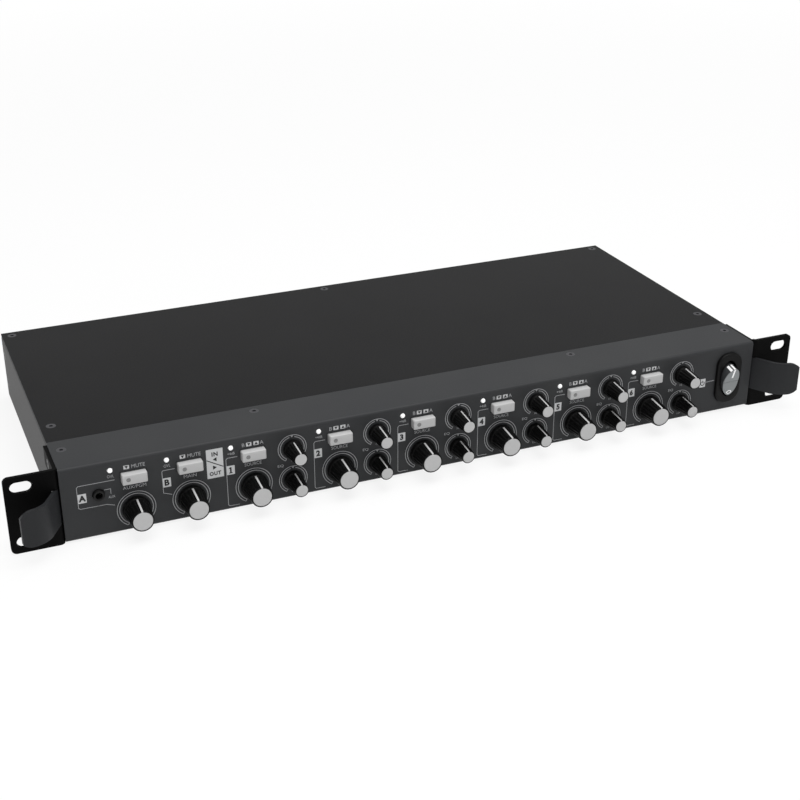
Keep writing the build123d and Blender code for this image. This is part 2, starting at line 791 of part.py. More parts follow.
def mains_inlet():
    """Screwed-on mains inlet: plate, body and deep well, with three blades that pass out at the back."""
    body = prism(RectangleRounded(inlet_plate_width, inlet_plate_height, inlet_plate_r), 0, inlet_plate_sheet)
    body += prism(Rectangle(inlet_body_width, inlet_body_height), -inlet_body_depth, 0)
    well_floor = inlet_plate_sheet - inlet_well_depth
    body -= prism(inlet_well(), well_floor, inlet_plate_sheet + overrun)
    screw_way = rod(screw_d / 2 + screw_play, -overrun, inlet_plate_sheet + overrun)
    for side in (-1, 1):
        body -= Pos(side * inlet_screw_pitch / 2, 0, 0) * screw_way
    blades = []
    outline = Rectangle(blade_thick, blade_height)
    half = blade_pitch / 2
    for place in (Pos(-half, -blade_offset_z), Pos(half, -blade_offset_z), Pos(0, blade_offset_z)):
        body -= place * prism(outline, -inlet_body_depth - overrun, well_floor + overrun)
        blades.append(place * prism(outline, -inlet_body_depth - blade_tail, inlet_plate_sheet - blade_short))
    return [body] + blades


def psu_transformer():
    """Winding block with a ferrite core round its waist."""
    x = psu_board_left_x + psu_board_width / 2
    y = transformer_y
    winding = block((x - transformer_width / 2, x + transformer_width / 2),
                    (y - transformer_depth / 2, y + transformer_depth / 2),
                    (board_top_z, board_top_z + transformer_height))
    winding = fillet(winding.edges().filter_by(Axis.Z), transformer_corner_r)
    core_half = transformer_depth / 2 + transformer_core_proud
    core = block((x - transformer_core_width / 2, x + transformer_core_width / 2),
                 (y - core_half, y + core_half),
                 (board_top_z, board_top_z + transformer_height + transformer_core_proud))
    return winding + core


def psu_capacitors():
    x = psu_board_left_x + psu_board_width / 2
    can = rod(capacitor_d / 2, board_top_z, board_top_z + capacitor_h)
    can = chamfer(can.edges().group_by(Axis.Z)[-1], capacitor_edge)
    return [Pos(x + side * capacitor_pitch / 2, capacitor_y, 0) * can for side in (-1, 1)]


def mains_leads():
    """Two insulated leads from the inlet's blades to the rocker switch's terminals."""
    inlet_end_y = rear_y - inlet_body_depth - blade_tail
    rocker_end_y = front_y + rocker_housing_depth + terminal_length
    leads = []
    for side in (-1, 1):
        start = (inlet_x - side * blade_pitch / 2, inlet_end_y, inlet_z - blade_offset_z)
        end = (rocker_x, rocker_end_y, rocker_z - side * terminal_pitch / 2)
        run_x = rocker_x - mains_lead_side - side * mains_lead_d
        route = [start, (start[0], start[1] - mains_lead_side, start[2]),
                 (run_x, start[1] - 2 * mains_lead_side, mains_lead_z),
                 (run_x, end[1] + 2 * mains_lead_side, mains_lead_z),
                 (end[0], end[1] + mains_lead_side, end[2]), end]
        path = FilletPolyline(*route, radius=mains_lead_r)
        profile = Plane(origin=start, z_dir=(0, -1, 0)) * Circle(mains_lead_d / 2)
        leads.append(sweep(profile, path=path))
    return leads


def write(node, shapes):
    """One file per node; a node may hold several separate solids."""
    solids = [solid for shape in shapes for solid in shape.solids()]
    export_step(Compound(children=solids) if len(solids) > 1 else solids[0], f"parts/{node}.step")


os.makedirs("parts", exist_ok=True)

write("chassis_tray", [chassis_tray()])
write("top_cover", [top_cover()])
write("rear_panel", [rear_panel()])
write("front_panel", [front_panel()])
for name, piece in (("rack_ear", rack_ear()), ("ear_grip", ear_grip())):
    for hand, half in zip(("left", "right"), both_sides(piece)):
        write(f"{name}_{hand}", [half])

case_screw_places = cover_places + strip_places + strip_tab_places + return_places
tab_screws = [half for place in tab_places for half in both_sides(place * screw())]
write("case_screws", [place * screw() for place in case_screw_places] + tab_screws)
write("ear_screws", [half for place in lug_places + grip_places for half in both_sides(place * screw())])
stud_screws = [on_panel(x, z) * Pos(0, 0, -control_board_back - board_sheet) * Rot(X=180) * pan_screw()
               for x, z in stud_places]
inlet_screws = [place * Pos(0, 0, inlet_plate_sheet) * pan_screw() for place in inlet_places]
board_screws = [place * pan_screw() for place in main_board_places + psu_board_places]
write("pan_screws", stud_screws + inlet_screws + board_screws)

write("control_board", [control_board()])
write("panel_studs", [on_panel(x, z) * panel_stud() for x, z in stud_places])
level_pot = potentiometer(level_spindle_d)
tone_pot = potentiometer(tone_spindle_d)
write("level_potentiometers", [on_panel(x, level_z) * level_pot for x in channel_xs])
tone_places = [(x + tone_offset_x, z) for x in zone_xs for z in (treble_z, bass_z)]
write("tone_potentiometers", [on_panel(x, z) * tone_pot for x, z in tone_places])
write("push_switches", [on_panel(x, button_z) * push_switch() for x in channel_xs])
write("status_leds", [on_panel(x - led_offset_x, led_z) * status_led() for x in channel_xs])
write("aux_jack", [on_panel(jack_x, jack_z) * aux_jack()])

level_knob = turning_knob(level_knob_h, level_base_d, level_top_d, level_cap_d, level_flutes,
                          level_pointer, level_spindle_d)
tone_knob = turning_knob(tone_knob_h, tone_base_d, tone_top_d, tone_cap_d, tone_flutes,
                         tone_pointer, tone_spindle_d)
button = push_button()
for name, x in zip(channel_names, channel_xs):
    write(f"{name}_level_knob", [on_panel(x, level_z) * solid for solid in level_knob])
    write(f"{name}_button", [on_panel(x, button_z) * solid for solid in button])
for name, x in zip(channel_names[len(input_xs):], zone_xs):
    for tone, z in (("treble", treble_z), ("bass", bass_z)):
        write(f"{name}_{tone}_knob", [on_panel(x + tone_offset_x, z) * solid for solid in tone_knob])
write("rocker_frame", [on_panel(rocker_x, rocker_z) * solid for solid in rocker_frame()])
write("power_rocker", [on_panel(rocker_x, rocker_z) * power_rocker()])

write("main_board", [main_board()])
write("psu_board", [psu_board()])
write("board_standoffs", [place * standoff() for place in main_board_places + psu_board_places])
write("board_headers", board_headers())
write("ribbon_cable", [ribbon_cable()])
write("phono_blocks", [on_rear(x, phono_z) * phono_block() for x in channel_xs])
write("input_barrels", barrels(input_xs))
write("output_barrels", barrels(zone_xs))
write("mains_inlet", [on_rear(inlet_x, inlet_z) * solid for solid in mains_inlet()])
write("psu_transformer", [psu_transformer()])
write("psu_capacitors", psu_capacitors())
write("mains_leads", mains_leads())
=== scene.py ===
import json
from math import cos, hypot, pi, radians, sin, sqrt

import bmesh
import bpy
from mathutils import Matrix, Vector


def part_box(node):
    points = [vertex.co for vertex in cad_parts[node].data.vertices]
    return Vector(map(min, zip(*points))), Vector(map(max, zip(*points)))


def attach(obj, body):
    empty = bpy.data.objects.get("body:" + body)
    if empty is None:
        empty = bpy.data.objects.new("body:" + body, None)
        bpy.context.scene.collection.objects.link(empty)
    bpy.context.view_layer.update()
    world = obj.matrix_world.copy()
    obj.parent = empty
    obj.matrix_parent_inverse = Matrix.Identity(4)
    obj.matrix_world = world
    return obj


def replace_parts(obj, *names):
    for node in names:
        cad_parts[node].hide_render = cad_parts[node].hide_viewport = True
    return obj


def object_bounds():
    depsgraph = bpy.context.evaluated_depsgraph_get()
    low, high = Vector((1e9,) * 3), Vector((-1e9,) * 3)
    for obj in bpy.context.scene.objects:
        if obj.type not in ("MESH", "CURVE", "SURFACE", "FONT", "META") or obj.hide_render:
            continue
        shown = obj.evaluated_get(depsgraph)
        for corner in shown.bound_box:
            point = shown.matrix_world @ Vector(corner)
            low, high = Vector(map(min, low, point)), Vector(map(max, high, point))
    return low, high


# Rack-mount stereo zone selector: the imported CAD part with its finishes, moulded controls and panel print.
# Sizes are millimetres until a mesh is made. X runs along the front, Y to the rear and Z up.

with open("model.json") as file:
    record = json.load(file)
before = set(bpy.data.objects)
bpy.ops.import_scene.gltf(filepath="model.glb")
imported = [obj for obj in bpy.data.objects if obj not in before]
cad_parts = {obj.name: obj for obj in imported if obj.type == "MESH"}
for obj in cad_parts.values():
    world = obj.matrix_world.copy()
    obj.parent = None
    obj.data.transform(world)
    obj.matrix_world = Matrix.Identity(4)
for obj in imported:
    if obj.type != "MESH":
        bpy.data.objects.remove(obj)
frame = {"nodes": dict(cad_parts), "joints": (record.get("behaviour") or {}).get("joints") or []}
cad_low, cad_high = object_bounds()
MM = 0.001

# Camera, set to the photograph's viewing angle
camera_place = (-293.35, -644.28, 361.64)
camera_turn = (64.2817, 0.0425, -22.7995)
camera_lens = 62.49
camera_sensor = 36.0

# Studio
floor_r = 20000.0
floor_cove = 2000.0
floor_rim = 5500.0
floor_drop = 0.1
floor_turns = 96
cove_steps = 12
floor_lift_shares = (0.85, 1.0)
floor_lift_reach = (450.0, 1600.0)
paper_colour = "#f4f4f4"
paper_roughness = 0.9
softbox_size = (1700.0, 1100.0)
softbox_place = (100.0, -200.0, 1500.0)
softbox_power = 24.0
sky_level = 0.42

# Surface patterns: slow clouds in the tint, and how the grain and the clouds drive tint and gloss
cloud_size = 45.0
cloud_detail = 2.0
grain_detail = 3.0
grain_share = 0.6
tint_span = (0.5, 1.1)
gloss_span = (0.3, 0.7)

# Edge angles in degrees over which shading stays sharp, and the radius at which a turned face closes
film_sharp = 30
blade_sharp = 35
edge_sharp = 40
button_sharp = 45
knob_sharp = 50
disc_sharp = 60
axis_r = 0.01

# Turning knobs; flute_run pairs shares of the wall's height and of the flutes' depth, which runs out below
# the collar, and cap_roll pairs shares of the cap's edge, inwards and down
skirt_h = 2.4
knob_gap = 0.6
wall_step = 0.3
edge_r = 0.25
edge_roll = 0.3
flute_depth = 0.35
flute_points = 8
flute_run = ((0.3, 1), (0.6, 1), (0.86, 1), (0.9, 0.6), (0.93, 0))
rim_drop = 0.2
cap_sheet = 1.1
cap_edge = 0.3
cap_roll = ((2, 0), (1, 0.07), (0.3, 0.3), (0, 1))
cap_play = 0.04
cap_turns = 64
pointer_proud = 0.12
pointer_sink = 0.4
pointer_root = 0.05
pointer_crest = 0.05
pointer_end = 0.08
pointer_cap_gap = 0.1
pointer_turn_in = 0.2
pointer_foot = 0.02
pointer_flat = 0.75
pointer_shoulder = 0.03
pointer_dip = 0.01
level_knob = {"height": 15.2, "base_d": 15.5, "top_d": 12.0, "cap_d": 10.5, "flutes": 20, "pointer": 1.0}
tone_knob = {"height": 15.0, "base_d": 11.0, "top_d": 7.8, "cap_d": 6.7, "flutes": 16, "pointer": 0.75}

# Push buttons with a lamp window; least_corner is the share of a corner's radius that a rolled edge leaves,
# and window_shoulder is a share of the disc's radius and a height
button_width = 13.4
button_height = 5.9
button_proud = 3.9
button_corner_r = 0.7
button_edge_r = 0.7
button_root = 1.4
button_roll_steps = 5
least_corner = 0.15
window_d = 2.6
window_inset = 3.2
window_depth = 0.3
window_taper = 0.08
window_play = 0.12
window_crown = 0.2
window_shoulder = (0.6, 0.17)
window_rim = 0.08
window_lift = 0.01
window_turns = 28

# Lamps
lamp_d = 2.6
lamp_side = 0.2
lamp_dome = 0.7
lamp_root = 3.0
lamp_flange = 0.4
lamp_flange_top = 2.2
lamp_neck = 2.1
lamp_rim_r = 1.9
lamp_steps = 7
lamp_turns = 32
lamp_offset_x = 12.0

# Jack socket and its sprung contact
jack_nose_d = 6.2
jack_bore_d = 3.6
jack_proud = 2.0
jack_depth = 11.5
jack_neck = 8.0
jack_edge = 0.4
jack_edge_roll = 0.12
jack_mouth = 0.35
jack_mouth_roll = 0.1
jack_turns = 48
contact_play = 0.03
contact_lip = 0.2
contact_run = (1.6, 2.0, 4.0, 4.4)
contact_turns = 32

# Phono inserts and the mains inlet's blades
phono_pitch = 14.5
insert_r = 3.5
insert_face_r = 3.3
insert_mouth_r = 1.82
insert_bore_r = 1.62
insert_proud = 8.6
insert_edge = 0.3
insert_mouth = 0.2
insert_root = 0.1
insert_turns = 40
blade_size = (2.06, 4.06)
blade_tip_size = (1.4, 3.4)
blade_edge = 0.1
blade_arc = 2
blade_root = 12.6
blade_shoulder = 1.75
blade_tip = 1.28
blade_places = ((-7.0, -2.0), (7.0, -2.0), (0.0, 2.0))

# Power rocker; well_roll pairs shares of the mouth's width and depth
bezel_width = 17.5
bezel_height = 33.0
bezel_r = 7.8
bezel_proud = 2.2
bezel_edge_r = 0.9
bezel_arc = 12
bezel_steps = 6
well_play = 0.3
well_mouth = 0.5
well_roll = ((1, 0), (0.5, 0.2), (0.15, 0.55), (0, 1))
well_depth = 5.9
housing_wall = 1.6
housing_r = 3.3
housing_depth = 20.0
terminal_size = (4.8, 0.8)
terminal_pitch = 7.0
terminal_edge = 0.15
terminal_tip = 0.8
terminal_gap = 0.05
terminal_arc = 2
rocker_width = 11.0
rocker_half_length = 9.9
rocker_reach = 5.7
rocker_dish = 0.9
rocker_back = 2.5
rocker_edge_r = 0.5
rocker_edge_across = 0.4
rocker_edge_deep = 0.3
rocker_edge_steps = 4
rocker_stations = 32
rocker_tip_step = 0.5
rocker_face_lean = 0.5
crease_half_width = 0.45
crease_depth = 0.3
mark_proud = 0.06
mark_sink = 0.15
mark_width = 1.2
mark_flat = 0.42
mark_shoulder = 0.6
line_mark_start = 3.0
line_mark_short = 0.15
line_mark_steps = 12
end_mark_xs = (0, -2.2)
end_mark_run = 0.9
end_mark_steps = 10
end_mark_half_points = 4
ring_y = -7.6
ring_radii = (1.8, 1.2)
ring_squash = 0.7
ring_sink = 0.1
ring_points = 40

# Panel print: the film and its strokes
ink_thick = 0.04
ink_line = 0.36
frame_line = 0.3
mitre_limit = 0.5
plate_r = 0.25
plate_arc = 3
letter_steps = 3
letter_weld = 1e-5
bold_spacing = 4
level_scale_r = (9.0, 10.35)
tone_scale_r = (6.9, 8.1)
scale_sweep = 150
scale_steps = 48
tone_scale_steps = 32
tone_gap = 12
tone_mark_half = 1.0
tone_mark_dip = 0.3
arrow_size = 1.1
arrow_shift = 0.2

# Panel print: places, across from the middle of the control that they belong to and up from the panel's
# middle; the jack's tie line and word are also measured up from the jack. Sizes and plates are a height,
# then a width. Rows of arrows end with a turn in degrees.
input_a_frame = ((-10.0, 10.2), (-29.2, 10.2), (-30.0, 9.4), (-30.0, -2.6), (-29.2, -3.3), (-15.2, -3.4),
                 (-11.2, -4.7))
input_b_frame = ((-8.0, 10.1), (-14.4, 10.1), (-15.0, 9.5), (-15.0, -3.3), (-10.5, -5.0))
zone_frame = ((-8.5, 10.2), (-14.2, 10.2), (-15.0, 9.4), (-15.0, -18.4), (-14.3, -19.1), (-8.8, -19.2))
jack_tie = ((3.1, 2.1), (6.5, 2.1), (6.5, -0.9))
jack_word_place = (6.8, -2.7)
jack_word_size = (1.4, 3.6)
input_letter_xs = (-27.65, -12.75)
input_letter_h = 3.7
input_plate = (5.4, 4.4)
number_x = -12.65
number_h = 3.6
number_plate = (5.4, 4.5)
number_z = 2.7
number_bold = 0.05
one_foot_width = 1.9
one_foot_h = 0.5
one_foot_r = 0.1
one_foot_arc = 2
one_foot_z = 1.05
one_flag = ((-0.05, 4.5), (-1.0, 4.0), (-1.0, 3.5), (-0.05, 3.85))
caption_z = 4.1
caption_h = 1.9
input_captions = (("AUX/PGM", 12.4), ("MAIN", 7.0))
source_width = 9.6
lamp_word_z = 12.6
overload_size = (1.7, 3.6)
gain_size = (1.5, 4.0)
switch_z = 16.2
switch_word_h = 2.1
switch_plate_width = 3.0
mute_plate_h = 2.2
mute_plate_x = -3.4
mute_arrow_turn = -90
mute_word_x = 2.9
mute_width = 7.2
source_plate_h = 2.3
source_plates = ((-1.9, -90), (2.2, 90))
source_letters = (("B", -5.0), ("A", 5.3))
tone_word_place = (-7.0, -0.9)
tone_word_size = (1.8, 3.4)
band_word_drop = 7.4
band_word_h = 1.3
way_plate_place = (13.9, 8.6)
way_plate = (17.4, 9.2)
way_divider = ((9.4, 11.1), (18.4, 5.9))
way_divider_line = 0.5
way_arrow_size = 1.45
way_arrows = ((14.2, 11.0, 180), (13.4, 6.2, 0))
way_words = (("IN", 14.0, 14.2, 2.6, 3.4), ("OUT", 13.8, 2.6, 2.4, 6.4))
way_bold = 0.04
power_tie = ((-15.4, 0.0), (-9.4, 0.2))
power_plate_place = (-17.9, -0.2)
power_plate = (5.6, 4.2)
power_ring_z = -0.4
power_ring_r = 1.3
power_ring_turns = (35, 325)
power_ring_steps = 24
power_stem_zs = (-0.2, 1.4)
power_line = 0.5


def linear(code):
    """A written sRGB hex colour as the linear colour that a shader takes."""
    parts = [int(code[place:place + 2], 16) / 255 for place in (1, 3, 5)]
    return [p / 12.92 if p <= 0.04045 else ((p + 0.055) / 1.055) ** 2.4 for p in parts] + [1.0]


def add(tree, kind, settings=None, **inputs):
    """One shader node with its settings; inputs, named or numbered from i0, take values or outputs."""
    made = tree.nodes.new("ShaderNode" + kind)
    for key, value in (settings or {}).items():
        setattr(made, key, value)
    for key, value in inputs.items():
        numbered = key[0] == "i" and key[1:].isdigit()
        socket = made.inputs[int(key[1:]) if numbered else key.replace("_", " ")]
        if isinstance(value, bpy.types.NodeSocket):
            tree.links.new(value, socket)
        else:
            socket.default_value = value
    return made


def finish(name, colours, grain, roughness, bump, pattern="peel", metallic=0.0, specular=0.5, glow=0.0):
    """A surface whose colour, gloss and relief all follow one pattern of a grain size in millimetres."""
    material = bpy.data.materials.new(name)
    material.use_nodes = True
    tree = material.node_tree
    shader = tree.nodes["Principled BSDF"]
    place = add(tree, "TexCoord").outputs["Object"]
    if pattern == "spark":
        grit = add(tree, "TexVoronoi", {"feature": "SMOOTH_F1"}, i0=place, Scale=1 / (grain * MM))
        relief = grit.outputs["Distance"]
    else:
        grit = add(tree, "TexNoise", i0=place, Scale=1 / (grain * MM), Detail=grain_detail)
        relief = grit.outputs["Fac"]
    cloud = add(tree, "TexNoise", i0=place, Scale=1 / (cloud_size * MM), Detail=cloud_detail)
    both = add(tree, "Math", {"operation": "MULTIPLY_ADD"}, i0=relief, i1=grain_share,
               i2=cloud.outputs["Fac"])
    share = add(tree, "MapRange", i0=both.outputs[0], i1=tint_span[0], i2=tint_span[1], i3=0.0, i4=1.0)
    tint = add(tree, "MixRGB", i0=share.outputs[0], i1=linear(colours[0]), i2=linear(colours[1]))
    gloss = add(tree, "MapRange", i0=relief, i1=gloss_span[0], i2=gloss_span[1], i3=roughness[0],
                i4=roughness[1])
    height = add(tree, "Bump", Strength=1.0, Distance=bump * MM, Height=relief)
    tree.links.new(tint.outputs[0], shader.inputs["Base Color"])
    tree.links.new(gloss.outputs[0], shader.inputs["Roughness"])
    tree.links.new(height.outputs[0], shader.inputs["Normal"])
    shader.inputs["Metallic"].default_value = metallic
    shader.inputs["Specular IOR Level"].default_value = specular
    if glow:
        shader.inputs["Emission Color"].default_value = linear(colours[1])
        shader.inputs["Emission Strength"].default_value = glow
    return material


# Powder coat on steel, baked: a satin skin with a slight orange peel, which a grazing view turns grey
cover_coat = finish("powder_coat_black_satin", ("#0f0f10", "#141415"), grain=0.9, roughness=(0.42, 0.5),
                    bump=0.012, specular=0.13)
# The same coat in dark grey on the bent front, so that its top strip stands out from the lid
panel_coat = finish("powder_coat_dark_grey", ("#313234", "#363738"), grain=0.9, roughness=(0.45, 0.53),
                    bump=0.012, specular=0.19)
# Matt powder coat on the ears: deep black with hardly any shine
ear_coat = finish("powder_coat_black_matt", ("#040404", "#070707"), grain=0.8, roughness=(0.6, 0.7),
                  bump=0.015, specular=0.07)
# The front's kind of coat on the grips, a shade darker
grip_coat = finish("powder_coat_grip_grey", ("#222325", "#27282a"), grain=0.9, roughness=(0.45, 0.53),
                   bump=0.012, specular=0.2)
# Black zinc plated on steel screws: dark grey and half bright; its fine grain is drawn at 0.3 mm to show
black_zinc = finish("zinc_plate_black", ("#47474a", "#525255"), grain=0.3, roughness=(0.4, 0.5),
                    bump=0.01, metallic=0.5)
# Bright zinc plated on steel: pale and slightly clouded; its fine crystals are drawn at 0.5 mm to show
bright_zinc = finish("zinc_plate_bright", ("#a9adb0", "#c4c7c6"), grain=0.5, roughness=(0.25, 0.4),
                     bump=0.006, pattern="spark", metallic=1.0)
# ABS moulded in a spark-eroded tool: deep black with a dull grain. The real grit of moulded pieces is near
# 0.1 mm; here and below it is drawn at 0.35 to 0.4 mm, so that it shows
knob_abs = finish("abs_moulded_black", ("#050505", "#090909"), grain=0.35, roughness=(0.42, 0.55),
                  bump=0.012, pattern="spark", specular=0.12)
# Light grey ABS of caps and pointers: even, soft shine
cap_abs = finish("abs_moulded_light_grey", ("#bababa", "#c1c1c1"), grain=0.4, roughness=(0.45, 0.55),
                 bump=0.006, pattern="spark")
# The buttons' ABS, from a batch of nearly the same grey
button_abs = finish("abs_moulded_button_grey", ("#b9b9b9", "#c0c0c0"), grain=0.4, roughness=(0.45, 0.55),
                    bump=0.006, pattern="spark")
# Smoked acrylic window let into a button: darker and smoother than its cap
window_acrylic = finish("acrylic_smoked", ("#7d7d7d", "#868686"), grain=0.6, roughness=(0.25, 0.32),
                        bump=0.003)
# Epoxy lamp body, cast: milky white and smooth, with a painted glow as if lit a little from within
lamp_epoxy = finish("epoxy_cast_milky", ("#f2f2f2", "#fbfbfb"), grain=0.8, roughness=(0.18, 0.25),
                    bump=0.002, glow=0.35)
# Nylon of the jack, moulded: black with half a gloss
nylon = finish("nylon_moulded_black", ("#080808", "#0d0d0d"), grain=0.4, roughness=(0.45, 0.55),
               bump=0.006, pattern="spark", specular=0.25)
# The same nylon for the rocker's frame, from a duller tool
bezel_nylon = finish("nylon_moulded_matt", ("#060606", "#0a0a0a"), grain=0.4, roughness=(0.5, 0.6),
                     bump=0.008, pattern="spark", specular=0.18)
# Polycarbonate rocker face, moulded: mid grey with a clean shine
rocker_grey = finish("polycarbonate_moulded_grey", ("#808485", "#878b8c"), grain=0.5, roughness=(0.3, 0.38),
                     bump=0.004)
# The rocker's walls are the same grey moulding, given a darker grey as painted shade, so that its face stands
# out
rocker_wall_painted_shade = finish("polycarbonate_grey_painted_shade", ("#37393a", "#3d3f40"), grain=0.5, roughness=(0.35, 0.43),
                     bump=0.004)
# Screen-printed epoxy ink on plates: pale, dry and slightly uneven; the screen's finer mesh, here and in the
# inks below, is drawn at 0.25 mm to show
ink_light = finish("screen_ink_light", ("#c4c5c6", "#cecfd0"), grain=0.25, roughness=(0.6, 0.7), bump=0.003)
# The same ink in thin strokes and small words, where the coat shows through
ink_grey = finish("screen_ink_grey", ("#9c9d9f", "#a8a9ab"), grain=0.25, roughness=(0.6, 0.7), bump=0.003)
# Black ink on top of the plates: dry and dense
ink_dark = finish("screen_ink_dark", ("#0e0e0f", "#131314"), grain=0.25, roughness=(0.6, 0.7), bump=0.003)
# Pad print on the rocker: a thick, clear white, with a slight painted glow as highlight
ink_white = finish("pad_print_white", ("#f0f0f0", "#fafafa"), grain=0.25, roughness=(0.5, 0.6), bump=0.003,
                   glow=0.1)
# Nickel plate on brass sleeves: warm, bright and smooth
nickel = finish("nickel_plate", ("#c3c0b8", "#d0cdc6"), grain=0.6, roughness=(0.18, 0.28), bump=0.002,
                metallic=1.0)
# White ABS of the upper phono inserts, moulded: a little creamy, with a soft shine
insert_white = finish("abs_moulded_white", ("#dcdcd8", "#e6e6e2"), grain=0.4, roughness=(0.4, 0.5),
                      bump=0.005, pattern="spark")
# Red ABS of the lower phono inserts, moulded: deep red with the same soft shine
insert_red = finish("abs_moulded_red", ("#a01a18", "#ae2320"), grain=0.4, roughness=(0.4, 0.5),
                    bump=0.005, pattern="spark")
# Glass laminate under green solder mask: glossy, with the weave as a faint ripple
laminate = finish("glass_laminate_green", ("#0f4a2a", "#155834"), grain=0.8, roughness=(0.3, 0.4), bump=0.01)
# Tinned steel of the potentiometers' shells, rolled: bright with soft spots
tin_plate = finish("tin_plate", ("#9a9c9c", "#b0b2b2"), grain=0.6, roughness=(0.3, 0.45), bump=0.004,
                   metallic=1.0)
# PBT housings of sockets and switches, moulded: black and slightly dusty
housing = finish("pbt_moulded_black", ("#151515", "#1d1d1d"), grain=0.4, roughness=(0.45, 0.55),
                 bump=0.008, pattern="spark")
# Vinyl drawn over flat cable: grey with a soft shine
vinyl_grey = finish("vinyl_drawn_grey", ("#8a8b8e", "#96979a"), grain=1.0, roughness=(0.4, 0.5), bump=0.01)
# Vinyl drawn over the mains leads: brown with the same soft shine
vinyl_brown = finish("vinyl_drawn_brown", ("#4a2a18", "#55321d"), grain=1.0, roughness=(0.4, 0.5), bump=0.01)
# Polyester tape wound over the transformer: yellow and glossy
tape = finish("polyester_tape_yellow", ("#8d7a22", "#9c8829"), grain=1.2, roughness=(0.3, 0.4), bump=0.01)
# Sleeve shrunk over the capacitors: dark blue with a tight gloss
sleeve = finish("shrink_sleeve_blue", ("#1b2440", "#232d4c"), grain=1.0, roughness=(0.25, 0.35), bump=0.006)

node_finishes = {
    "chassis_tray": cover_coat, "top_cover": cover_coat, "rear_panel": cover_coat, "front_panel": panel_coat,
    "rack_ear_left": ear_coat, "rack_ear_right": ear_coat,
    "ear_grip_left": grip_coat, "ear_grip_right": grip_coat,
    "case_screws": black_zinc, "ear_screws": black_zinc,
    "pan_screws": bright_zinc, "panel_studs": bright_zinc, "board_standoffs": bright_zinc,
    "control_board": laminate, "main_board": laminate, "psu_board": laminate,
    "level_potentiometers": tin_plate, "tone_potentiometers": tin_plate,
    "push_switches": housing, "board_headers": housing, "phono_blocks": housing, "mains_inlet": housing,
    "ribbon_cable": vinyl_grey, "mains_leads": vinyl_brown,
    "input_barrels": nickel, "output_barrels": nickel,
    "psu_transformer": tape, "psu_capacitors": sleeve,
}
for node, material in node_finishes.items():
    slots = frame["nodes"][node].material_slots
    if slots:
        slots[0].material = material
    else:
        frame["nodes"][node].data.materials.append(material)


front_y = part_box("front_panel")[0].y / MM
rear_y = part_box("rear_panel")[1].y / MM


def on_front(x, z):
    """Where a front piece is placed: local X along the panel, local Y up and local Z out of it."""
    return Matrix.Translation(Vector((x, front_y, z)) * MM) @ Matrix.Rotation(pi / 2, 4, "X")


def on_rear(x, z):
    """The same for the rear panel, seen from behind."""
    place = Matrix.Translation(Vector((x, rear_y, z)) * MM)
    return place @ Matrix.Rotation(pi, 4, "Z") @ Matrix.Rotation(pi / 2, 4, "X")


def node_place(node):
    """The middle of a CAD node's box, along the front and up."""
    low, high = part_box(node)
    return (low.x + high.x) / 2 / MM, (low.z + high.z) / 2 / MM


input_xs = [node_place(f"input_{letter}_level_knob")[0] for letter in "ab"]
level_knobs = sorted(name for name in frame["nodes"] if name.endswith("_level_knob"))
zone_xs = [node_place(name)[0] for name in level_knobs if name.startswith("zone_")]
level_z = node_place("zone_1_level_knob")[1]
tone_places = [node_place(f"zone_1_{band}_knob") for band in ("treble", "bass")]
tone_offset_x = tone_places[0][0] - zone_xs[0]
jack_x, jack_z = node_place("aux_jack")
rocker_joint = next(joint for joint in frame["joints"] if joint["name"] == "power_rock")
rocker_x, pivot_y, rocker_z = [value / MM for value in rocker_joint["pos_m"]]
rocker_tilt = sum(rocker_joint["range_deg"]) / 2


def mesh_of(name, parts, material, sharp=edge_sharp):
    """One mesh from (points, faces) parts in millimetres, shaded smooth up to an edge angle."""
    points, faces = [], []
    for part_points, part_faces in parts:
        faces += [[index + len(points) for index in face] for face in part_faces]
        points += [Vector(point) * MM for point in part_points]
    mesh = bpy.data.meshes.new(name)
    mesh.from_pydata(points, [], faces)
    shape = bmesh.new()
    shape.from_mesh(mesh)
    bmesh.ops.recalc_face_normals(shape, faces=shape.faces)
    shape.to_mesh(mesh)
    shape.free()
    mesh.shade_smooth()
    mesh.set_sharp_from_angle(angle=radians(sharp))
    mesh.materials.append(material)
    return mesh


def piece(name, mesh, body, place):
    """A new object that rides on a CAD body."""
    made = bpy.data.objects.new(name, mesh)
    bpy.context.scene.collection.objects.link(made)
    made.matrix_world = place
    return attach(made, body)


def moved(part, x=0.0, y=0.0, z=0.0):
    """The same part in another place."""
    points, faces = part
    return [(px + x, py + y, pz + z) for px, py, pz in points], faces


def skin(rings, first=True, last=True):
    """Quads between rings of as many points, with flat ends where wanted."""
    count = len(rings[0])
    points = [point for ring in rings for point in ring]
    faces = []
    for level in range(len(rings) - 1):
        for place in range(count):
            low, other = level * count + place, level * count + (place + 1) % count
            faces.append([low, other, other + count, low + count])
    if first:
        faces.append(list(range(count))[::-1])
    if last:
        faces.append([len(points) - count + place for place in range(count)])
    return points, faces


def circle(count):
    """Even turns round a full circle."""
    return [2 * pi * place / count for place in range(count)]


def quarter(steps, last=1):
    """Even turns from zero up to a right angle, with the right angle itself or without it."""
    return [pi / 2 * step / steps for step in range(steps + last)]


def lathe(profile, count, closed=False):
    """A turned shape from (radius, height) pairs."""
    rings = [[(r * cos(a), r * sin(a), h) for a in circle(count)] for r, h in profile]
    if closed:
        rings.append(rings[0])
    return skin(rings, not closed, not closed)


def rounded(width, height, radius, arc=6):
    """A rounded rectangle's outline; equal arcs let outlines of two sizes be skinned together."""
    outline = []
    for corner, (sx, sy) in enumerate(((1, 1), (-1, 1), (-1, -1), (1, -1))):
        mid_x, mid_y = sx * (width / 2 - radius), sy * (height / 2 - radius)
        for turn in quarter(arc):
            a = pi / 2 * corner + turn
            outline.append((mid_x + radius * cos(a), mid_y + radius * sin(a)))
    return outline


